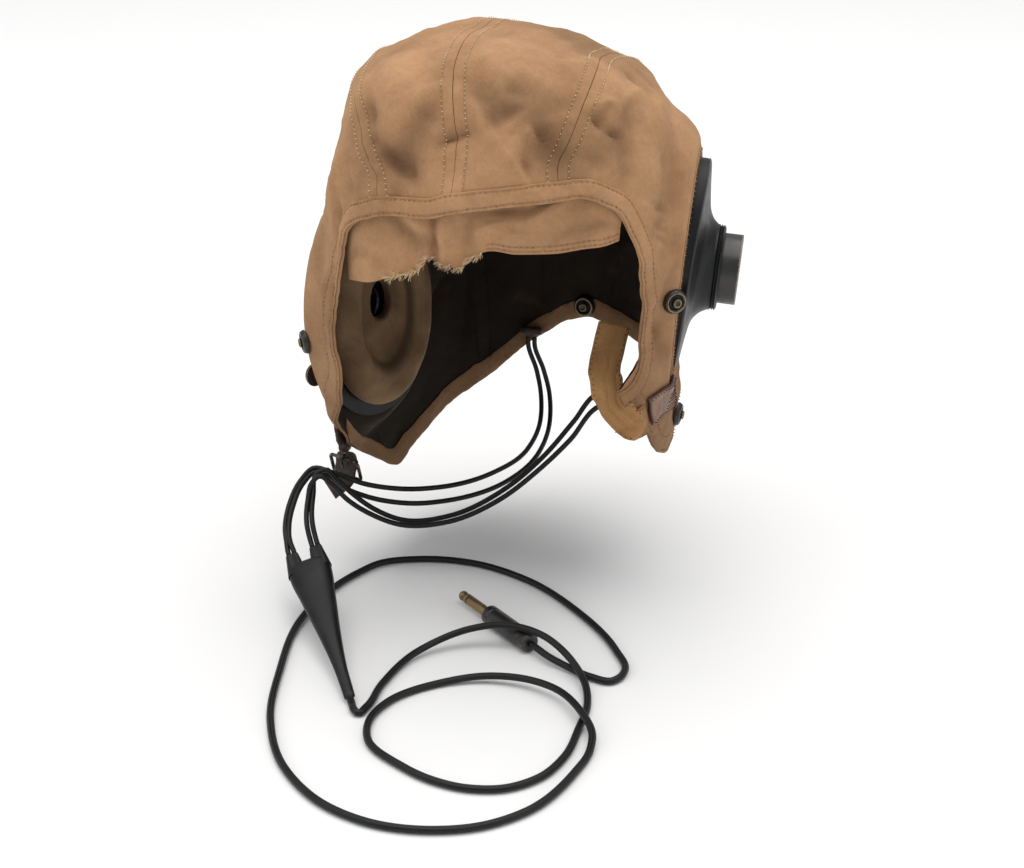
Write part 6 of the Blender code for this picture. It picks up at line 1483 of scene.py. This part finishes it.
def repeated_piece(name, points, along, facing, tree, sockets, sizes, finish):
    """A plain mesh of the tree's small form set on each point."""
    mesh = bpy.data.meshes.new(name + "_places")
    mesh.from_pydata(np.asarray(points).tolist(), [], [])
    mesh.attributes.new("along", "FLOAT_VECTOR", "POINT").data.foreach_set("vector", np.asarray(along).ravel())
    mesh.attributes.new("facing", "FLOAT_VECTOR", "POINT").data.foreach_set("vector", np.asarray(facing).ravel())
    holder = bpy.data.objects.new(name + "_places", mesh)
    bpy.context.scene.collection.objects.link(holder)
    step = holder.modifiers.new("repeat", "NODES")
    step.node_group = tree
    for label, value in {**sizes, "Finish": finish}.items():
        step[sockets[label]] = value
    bpy.context.view_layer.update()
    made_mesh = bpy.data.meshes.new_from_object(holder.evaluated_get(bpy.context.evaluated_depsgraph_get()))
    bpy.data.objects.remove(holder)
    made = bpy.data.objects.new(name, made_mesh)
    made_mesh.name = name
    bpy.context.scene.collection.objects.link(made)
    return made


def stitch_places(points, normals, pitch=STITCH_PITCH):
    """Places at an even pitch along a sewn row, with the row's direction and the cloth's facing."""
    line, facing = points[:, 0], normals[:, 0]
    run = run_along(line)
    at = np.arange(pitch / 2, run[-1], pitch)
    placed, ahead = points_at(at, run, line), points_at(at + pitch / 4, run, line)
    faced = unit(points_at(at, run, facing))
    return placed - faced * STITCH_SINK, unit(ahead - placed + 1e-9), faced


stitch_tree, stitch_sockets = repeat_tree("stitch", "stitch")
stitch_sizes = {"Length": STITCH_LENGTH, "Width": STITCH_WIDTH, "Height": STITCH_HEIGHT,
                "Scatter": STITCH_SCATTER, "Seed": STITCH_SEED}
for shade, finish in threads.items():
    rows = [stitch_places(points, normals) for kind, points, normals in sewn_rows if kind == shade]
    made = repeated_piece("stitches_" + shade, *[np.concatenate(part) for part in zip(*rows)], stitch_tree,
                          stitch_sockets, stitch_sizes, finish)
    hand_in(made, "helmet", "tan_cotton")
rows = [stitch_places(points, faces) for points, faces in chin_rows]
chin_stitches = repeated_piece("stitches_chin", *[np.concatenate(part) for part in zip(*rows)], stitch_tree,
                               stitch_sockets, stitch_sizes, threads["dark"])
for made in (*[made for made, _ in chin_straps], chin_stitches):
    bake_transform(made)
    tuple(CHIN_TURN_START)
    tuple(CHIN_TURN_END)

chance = np.random.default_rng(THREAD_SEED)
torn = np.flatnonzero(frayed > 0.3)
picked = chance.choice(torn, FRAY_THREADS)
within = SWEATBAND_THICKNESS * chance.uniform(0.2, 0.8, (FRAY_THREADS, 1))
starts = face[picked, -1] - band_normals[picked, -1] * within
downward = unit(face[picked, -1] - face[picked, -6])
sideways = unit(face[np.minimum(picked + 1, SWEATBAND_STEPS - 1), -1] - face[picked - 1, -1])
aim = unit(downward + sideways * chance.normal(0, 0.8, (FRAY_THREADS, 1))
           + band_normals[picked, -1] * chance.normal(0, 0.3, (FRAY_THREADS, 1)))
thread_tree, thread_sockets = repeat_tree("loose thread", "thread")
made = repeated_piece("frayed_threads", starts - aim * THREAD_ROOT, aim, band_normals[picked, -1], thread_tree,
                      thread_sockets, {"Width": THREAD_WIDTH, "Scatter": THREAD_SCATTER, "Seed": THREAD_SEED},
                      threads["pale"])
hand_in(made, "helmet", "tan_cotton")

# Telephone receivers
# Turned cases of pressed phenolic held in the rubber necks, their outer rims chipped and rubbed pale; a
# pierced cap faces the ear, over a steel diaphragm, a magnet and two coils that stay hidden.
RECEIVER_FACE, RECEIVER_MOUTH, RECEIVER_INNER_END = 0.0312, 0.0079, 0.0284
RECEIVER_WALL, RECEIVER_STEPS, RECEIVER_EASE = 0.0024, 112, 0.0007
FACE_RING_RADIUS, FACE_RING_WIDTH, FACE_RING_DEPTH = 0.0150, 0.0010, 0.0005
DIAPHRAGM_RADIUS, DIAPHRAGM_RECESS = 0.0186, 0.0010
CHIPPED_IN, CHIPPED_DOWN, CHIPPED_WEAR = 0.0016, 0.0008, 1.05

# Blackened steel: dark scale, dull, rubbed grey in blotches, drawn at 3 mm
look = Finish("blackened steel")
scale = look.noise(330, 5)
patch = look.ranged(scale, 0.4, 0.7)
steel = look.coated({"Base Color": look.mixed(patch, "#2E2C2A", "#6F6A62"), "Metallic": 1.0,
                     "Roughness": look.ranged(patch, 0, 1, 0.50, 0.32), "Normal": look.raised(scale, 0.2, 0.0002)})

# Varnished copper wire on the coils, its turns drawn at 0.4 mm
look = Finish("varnished copper wire")
coiled = look.add("ShaderNodeTexWave", {"bands_direction": "X"}, {"Vector": look.spot, "Scale": 800})
copper = look.coated({"Base Color": linear("#8C4526"), "Roughness": 0.35, "Metallic": 1.0, "Coat Weight": 0.5,
                      "Normal": look.raised(coiled.outputs["Fac"], 0.6, 0.0002)})

radius, face, mouth = RECEIVER_RADIUS, RECEIVER_FACE, RECEIVER_MOUTH
ring, half = FACE_RING_RADIUS, FACE_RING_WIDTH / 2
inside, recess = RECEIVER_RADIUS - RECEIVER_WALL, DIAPHRAGM_RADIUS + GAP
case_profile = [(0, face), (ring - half, face), (ring, face - FACE_RING_DEPTH), (ring + half, face), (radius, face),
                (radius, face - 0.0014), (radius, face - 0.0020), (radius, mouth), (recess, mouth),
                (recess, mouth + DIAPHRAGM_RECESS), (inside, mouth + DIAPHRAGM_RECESS),
                (inside, RECEIVER_INNER_END), (0, RECEIVER_INNER_END)]
for side, label in SIDE_NAMES.items():
    place = EARS[side] @ Matrix.Rotation(math.pi / 2, 4, "Y")
    made = turned_piece("receiver_shell_" + label, case_profile, place, [phenolic], RECEIVER_STEPS, RECEIVER_EASE)
    local = np.array([place.inverted() @ vertex.co for vertex in made.data.vertices])
    rim = (local[:, 2] > face - CHIPPED_DOWN) & (np.hypot(local[:, 0], local[:, 1]) > radius - CHIPPED_IN)
    wear = np.zeros(len(local))
    made.data.attributes["worn"].data.foreach_get("value", wear)
    made.data.attributes["worn"].data.foreach_set("value", np.where(rim, CHIPPED_WEAR, wear))
    hand_in(made, "receiver_" + label, "black_plastic", "receiver_case_" + label)
    for node, finish in (("receiver_cap_", phenolic), ("diaphragm_", steel), ("magnet_", steel), ("coils_", copper)):
        bpy.data.objects[node + label].data.materials[0] = finish

# Snap studs
# Pressed brass studs, blackened, for the goggles and the mask: a domed ring with a hollow round its post,
# the post's rim rubbed bright. Four are riveted through the flaps and one through the nape's facing.
STUD_RADIUS, STUD_STEPS, STUD_SINK, STUD_EASE = 0.0072, 72, 0.0001, 0.0003
STUD_PROFILE = ((0, 0.0038), (0.0014, 0.0038), (0.0017, 0.0046), (0.0023, 0.0046), (0.0027, 0.0041),
                (0.0024, 0.0030), (0.0027, 0.0018), (0.0034, 0.0012), (0.0040, 0.0018), (0.0047, 0.0028),
                (0.0055, 0.0031), (0.0063, 0.0026), (0.0069, 0.0015), (STUD_RADIUS, 0.0006), (STUD_RADIUS, 0),
                (0, 0))
STUDS = {"stud_left_upper": (70.5, 0.496), "stud_left_lower": (100, 0.812), "stud_right_upper": (-60, 0.636),
         "stud_right_lower": (-64, 0.716), "stud_nape": (168, 0.702)}

# Blackened brass: near-black lacquer, half gloss, worn to yellow metal on raised edges
look = Finish("blackened brass")
blots = look.noise(500, 4)
bare = look.ranged(look.maths("MULTIPLY_ADD", blots, 0.6, look.noted("worn")), 0.72, 1.05)
blackened = look.coated({"Base Color": look.mixed(bare, "#1C1B1A", "#B59A70"), "Metallic": bare,
                         "Roughness": look.ranged(blots, 0.3, 0.7, 0.26, 0.48)})

for name, (degrees, share) in STUDS.items():
    flat = flat_place(degrees, share)[None]
    point, normal = cloth_points(flat)[0], cloth_normals(flat)[0]
    under = panels["side", 1 if degrees > 0 else -1][0].reshape(-1, 3)
    if name == "stud_nape":
        normal = -normal
        under = (neck_hem[0] - neck_hem[1] * (CLOTH + FACING_GAP + FACING_THICKNESS)).reshape(-1, 3)
        point = under[np.argmin(np.linalg.norm(under - point, axis=1))]
    place = facing_frame(point, normal)
    local = (under - np.array(place.translation)) @ np.array(place.to_3x3())
    near = np.hypot(local[:, 0], local[:, 1]) < STUD_RADIUS
    lift = max(0, np.max(local[near, 2], initial=0)) - STUD_SINK
    place = place @ Matrix.Translation((0, 0, lift))
    made = turned_piece(name + "_ring", STUD_PROFILE, place, [blackened], STUD_STEPS, STUD_EASE)
    hand_in(made, "helmet", "dull_brass", name)

# Buckle
# A bent wire frame threaded on the strap, its ends butted, and a wire tongue hooked round its upper bar.
BUCKLE_WIDTH, BUCKLE_WIRE, BUCKLE_CORNER, BUCKLE_TILT = 0.0230, 0.0011, 0.0026, math.radians(30)
TONGUE_RADIUS, TONGUE_LENGTH, TONGUE_HOOK, WIRE_SIDES = 0.0008, 0.0058, math.radians(-45), 20


def wire_piece(name, points, radii, sideways, place, closed=False):
    """A bent steel wire of round sections along points, given in the axes of its place."""
    points = np.asarray(points, float)
    along = unit(np.roll(points, -1, 0) - np.roll(points, 1, 0)) if closed else unit(np.gradient(points, axis=0))
    sideways = np.broadcast_to(np.asarray(sideways, float), points.shape)
    turn = np.linspace(0, math.tau, WIRE_SIDES, endpoint=False)[None, :, None]
    ring = np.cos(turn) * sideways[:, None] + np.sin(turn) * np.cross(along, sideways)[:, None]
    radii = np.broadcast_to(radii, len(points))[:, None, None]
    verts, faces = round_skin(points[:, None] + radii * ring, loop=closed)
    made = add_piece(name, verts, faces, [steel], frame=place)
    return made


down = Vector(BUCKLE_DOWN).normalized()
across = Vector(STRAP_ACROSS)
across = (across - down * across.dot(down)).normalized()
centre = Vector(buckle_middle) + down.cross(across) * (STRAP_THICKNESS / 2)
axes = Matrix((across, down, across.cross(down))).transposed().to_4x4()
place = Matrix.Translation(centre) @ axes @ Matrix.Rotation(BUCKLE_TILT, 4, "X")
half_width, half_length = BUCKLE_WIDTH / 2, BUCKLE_LENGTH / 2
outline = []
for corner, (x, y) in enumerate(((1, -1), (1, 1), (-1, 1), (-1, -1))):
    for step in np.linspace(0, 1, 10):
        turn = math.radians(-90 + 90 * corner + 90 * step)
        outline.append((x * (half_width - BUCKLE_CORNER) + BUCKLE_CORNER * math.cos(turn),
                        y * (half_length - BUCKLE_CORNER) + BUCKLE_CORNER * math.sin(turn), 0))
made = wire_piece("wire_buckle", outline, BUCKLE_WIRE, (0, 0, 1), place, closed=True)
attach(made, "buckle")
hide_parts("buckle_frame")
eye = BUCKLE_WIRE + GAP + TONGUE_RADIUS
hook = [(0, -eye * math.cos(turn), -eye * math.sin(turn)) for turn in np.linspace(TONGUE_HOOK, math.pi / 2, 22)]
shaft = [(0, y, -eye) for y in np.linspace(0.0006, TONGUE_LENGTH, 12)]
taper = np.concatenate([np.full(22, TONGUE_RADIUS), TONGUE_RADIUS * np.linspace(1, 0.55, 12)])
made = wire_piece("wire_tongue", hook + shaft, taper, (1, 0, 0), place @ Matrix.Translation((0, -half_length, 0)))
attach(made, "tongue")
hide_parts("buckle_tongue")

# Keepers
# Two rolled leather keepers sewn inside the hem, one at the nape and one on the left; each grips a pair of
# leads where they come out of the cloth.
KEEPER_SIZE = (0.0150, 0.0050, 0.0070)
KEEPER_PLACES = {"keeper_nape": (-174, 0.776, 0.0014), "keeper_left": (92.5, 0.748, 0)}
KEEPER_LIFT, KEEPER_SQUARENESS, KEEPER_RINGS, KEEPER_SIDES = 0.0010, 0.55, 31, 32

turn = np.linspace(0, math.tau, KEEPER_SIDES, endpoint=False)
outline = np.stack([np.sign(wave) * np.abs(wave) ** KEEPER_SQUARENESS
                    for wave in (np.cos(turn), np.sin(turn))], axis=1)
stops = np.sin(np.linspace(-math.pi / 2, math.pi / 2, KEEPER_RINGS)) * 0.999
swell = (1 - np.abs(stops) ** 6) ** 0.35 * (1 - 0.05 * np.cos(stops * 9))
for name, (degrees, share, lining_depth) in KEEPER_PLACES.items():
    flat = flat_place(degrees, share)[None]
    normal = cloth_normals(flat)[0]
    lift = CLOTH + lining_depth + KEEPER_LIFT + KEEPER_SIZE[2] / 2
    sections = np.stack([np.repeat(stops[:, None] * KEEPER_SIZE[0] / 2, KEEPER_SIDES, axis=1),
                         swell[:, None] * outline[None, :, 0] * KEEPER_SIZE[1] / 2,
                         swell[:, None] * outline[None, :, 1] * KEEPER_SIZE[2] / 2], axis=-1)
    verts, faces = round_skin(sections)
    made = add_piece(name + "_roll", verts, faces, [strap_leather],
                     notes={"worn": np.repeat(np.abs(stops) ** 8, KEEPER_SIDES)},
                     frame=facing_frame(shell_points(flat)[0] - normal * lift, -normal))
    hand_in(made, "helmet", "brown_leather", name)
